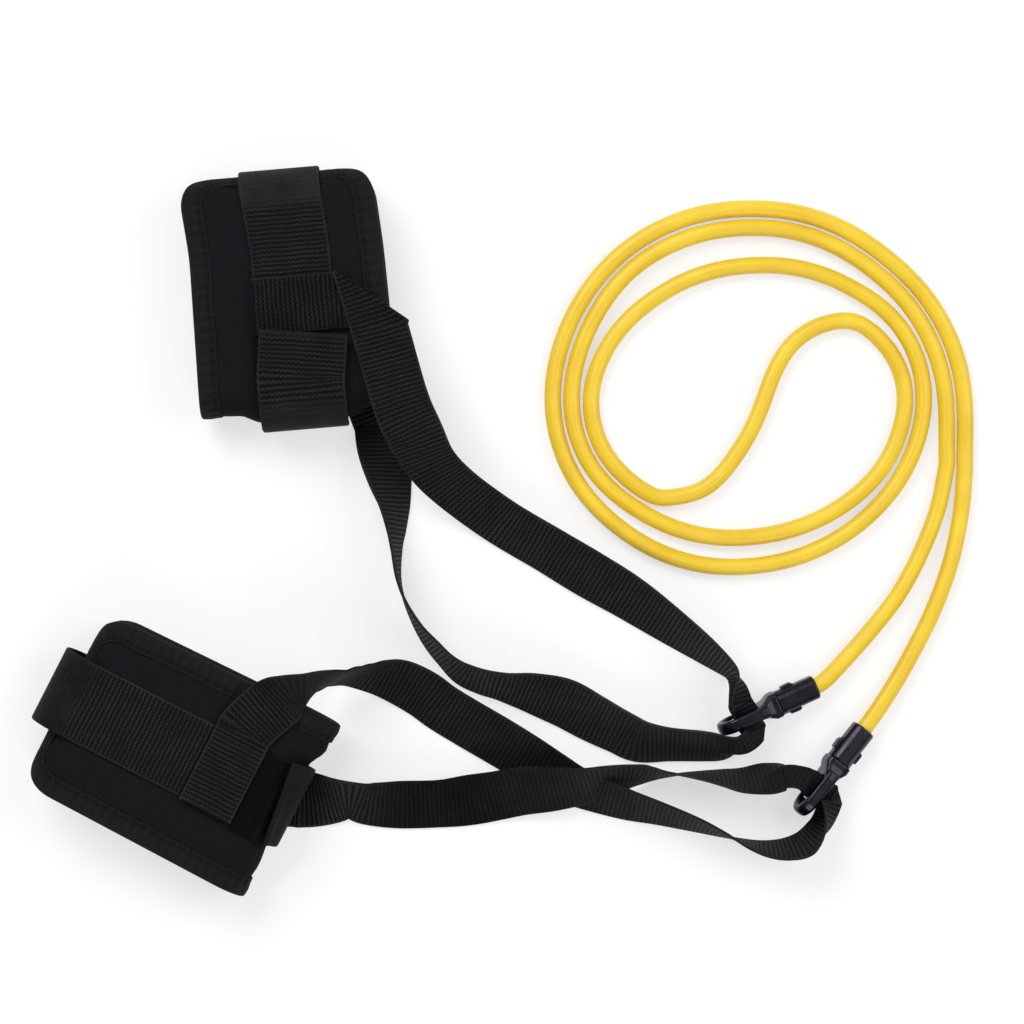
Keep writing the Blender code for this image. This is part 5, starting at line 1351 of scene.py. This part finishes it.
bridle_webbing = webbing_finish("bridle_webbing", BRIDLE_WIDTH)
ribbon_across = [p[0] for p in ribbon_section] + [ribbon_section[0][0]]
place = cuff_frames[1]
rings, lengths, start, creased_length = crease_rings(place, CUFFS[1])
strand = [(start, 180.0, 0.0)] + [(lay(p, z), tilt, 0.0) for p, z, tilt in BRIDLE_1_DOWN]
spot, height, tilt, fold = HOOK_APPROACH_1
strand.append((lay(spot, height), tilt, fold))
strand += hook_stations(hook_matrices[1], -1)
strand += [floor_station(p, tilt, fold, fold * GATHER_LIFT) for p, tilt, fold in BRIDLE_1_BACK]
strand += rear_stations(place, REAR_SLOPE_1, REAR_ACROSS_1, 180.0)
bridle_piece(1, strand, BRIDLE_1_RIBS, BRIDLE_1_PAINTED_SHADING, rings, lengths, creased_length)

place = cuff_frames[2]
patch_height = PAD_BEND_RADIUS + PATCH_OFFSET + WEBBING_THICKNESS / 2
edge = BELT_WIDTH / 2
strand = [(place @ Vector((CUFFS[2]["patch"], across, patch_height)), 0.0, 0.0)
          for across in (-edge - LOOP_STRIP_THICKNESS, 0.0, edge, edge + PATCH_LEAD)]
strand += [(lay(p, z), tilt, 0.0) for p, z, tilt in BRIDLE_2_OUT]
strand += [floor_station(p, tilt) for p, tilt in BRIDLE_2_FLOOR]
spot, height, tilt, fold = HOOK_APPROACH_2
strand.append((lay(spot, height), tilt, fold))
strand += hook_stations(hook_matrices[2], 1)
strand += [floor_station(*row) for row in BRIDLE_2_BACK]
strand += rear_stations(place, REAR_SLOPE_2, REAR_ACROSS_2, -180.0)
bridle_piece(2, strand, BRIDLE_2_RIBS, BRIDLE_2_PAINTED_SHADING)

# Sewn ends: a box of lockstitch round each bridle's patch, and two rows across belt 2 where it
# comes round the closed end of its cuff.
BOX_INSET = 0.0028
SEAM_INSET = 0.0022
ROW_MARGIN = 0.002
BOX_SINK = 0.00016
SEAM_RISE = 0.00006
for number, cuff in CUFFS.items():
    top = PATCH_OFFSET + WEBBING_THICKNESS - BOX_SINK
    near, far = cuff["patch"] - BRIDLE_WIDTH / 2 + BOX_INSET, cuff["patch"] + BRIDLE_WIDTH / 2 - BOX_INSET
    low, high = -BELT_WIDTH / 2 + ROW_MARGIN, BELT_WIDTH / 2 - 2 * ROW_MARGIN
    corners = [(near, low), (far, low), (far, high), (near, high), (near, low)]
    box = [on_cuff(number, along, across, top) for along, across in corners]
    sew(f"patch_stitches_{number}", [box], pitch=0.0031, length=0.0023)

slack = CUFFS[2]["belt_slack"]
seam_along = 2 * PAD_STRAIGHT + 2 * BEND_LENGTH + slack - SEAM_INSET
rows = [[on_cuff(2, seam_along + beside, across, BELT_OFFSET + WEBBING_THICKNESS + SEAM_RISE, slack)
         for across in steps_between(-BELT_WIDTH / 2 + ROW_MARGIN, BELT_WIDTH / 2 - ROW_MARGIN, 8)]
        for beside in (0.0, SEAM_INSET)]
sew("belt_stitches_2", rows, pitch=0.0034, length=0.0026)

# Snap hooks: black acetal, injection moulded, with round edges and a soft gloss. The moulded
# shapes are taken from the CAD solids and given the round edges of a mould.
MOULD_VOXEL = 0.00026
BARREL_RADIUS = 0.0067
BARREL_LENGTH = 0.0217
MOUTH_ROUND = 0.0007
END_ROUND = 0.0005
WELD_DISTANCE = 0.000002


def merged_copy(node_name, name):
    """A copy of a CAD solid with its loose triangles joined, without a finish."""
    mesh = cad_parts[node_name].data.copy()
    work = bmesh.new()
    work.from_mesh(mesh)
    bmesh.ops.remove_doubles(work, verts=work.verts, dist=WELD_DISTANCE)
    work.to_mesh(mesh)
    work.free()
    mesh.materials.clear()
    return new_object(name, mesh)


def moulded_copy(kind, made, number, body, rounds, barrel=None):
    """A copy of a CAD solid with the round edges of a moulding; a barrel's corners are turned round as well."""
    name = f"moulded_{made}_{number}"
    rough_copy = merged_copy(f"{kind}_{number}", name + "_rough")
    step = rough_copy.modifiers.new("mould", "REMESH")
    step.mode = "VOXEL"
    step.voxel_size = MOULD_VOXEL
    ease = rough_copy.modifiers.new("ease", "SMOOTH")
    ease.factor = 0.5
    ease.iterations = rounds
    piece = applied(rough_copy, name)
    if barrel is not None:
        inverse = barrel.inverted()
        for vertex in piece.data.vertices:
            spot = inverse @ vertex.co
            far = math.hypot(spot.y, spot.z)
            limit = BARREL_RADIUS - max(0.0, MOUTH_ROUND - spot.x) - max(0.0, spot.x - BARREL_LENGTH + END_ROUND)
            if far > limit:
                spot.y, spot.z = spot.y * limit / far, spot.z * limit / far
                vertex.co = barrel @ spot
    piece.data.materials.clear()
    piece.data.materials.append(moulded_plastic)
    piece.data.shade_smooth()
    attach(piece, body)
    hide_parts(f"{kind}_{number}")


# Injection-moulded acetal: black with a violet cast, glossy, with faint flow marks.
moulded_plastic = grained_finish("moulded_acetal", (0.27, 0.36), (160.0, 3.0), ("060508", "0E0C11"),
                                 rough=(0.2, 0.34, 0.3, 0.7), bump=(0.12, 0.00006), fine=(2500.0, 2.0),
                                 Specular_Tint=(0.86, 0.8, 1.0, 1.0))
for number, barrel in hook_matrices.items():
    moulded_copy("hook_frame", "hook", number, "tether", 14)
    moulded_copy("clamp_sleeve", "sleeve", number, "tether", 6, barrel)
    moulded_copy("gate", "gate", number, f"gate_{number}", 6)

# Drawn stainless steel: bright, with fine lines of the die.
steel = grained_finish("drawn_steel", (0.3,), (1800.0, 2.0), ("A9ABAD", "CFD1D3"), rough=(0.22, 0.42), Metallic=1.0)
for number, turned in hook_matrices.items():
    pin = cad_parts[f"gate_pin_{number}"]
    pin.data.materials.clear()
    pin.data.materials.append(steel)
    spring = merged_copy(f"gate_spring_{number}", f"drawn_spring_{number}")
    spring.data.materials.append(steel)
    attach(spring, "tether")
    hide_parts(f"gate_spring_{number}")
    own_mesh(spring)
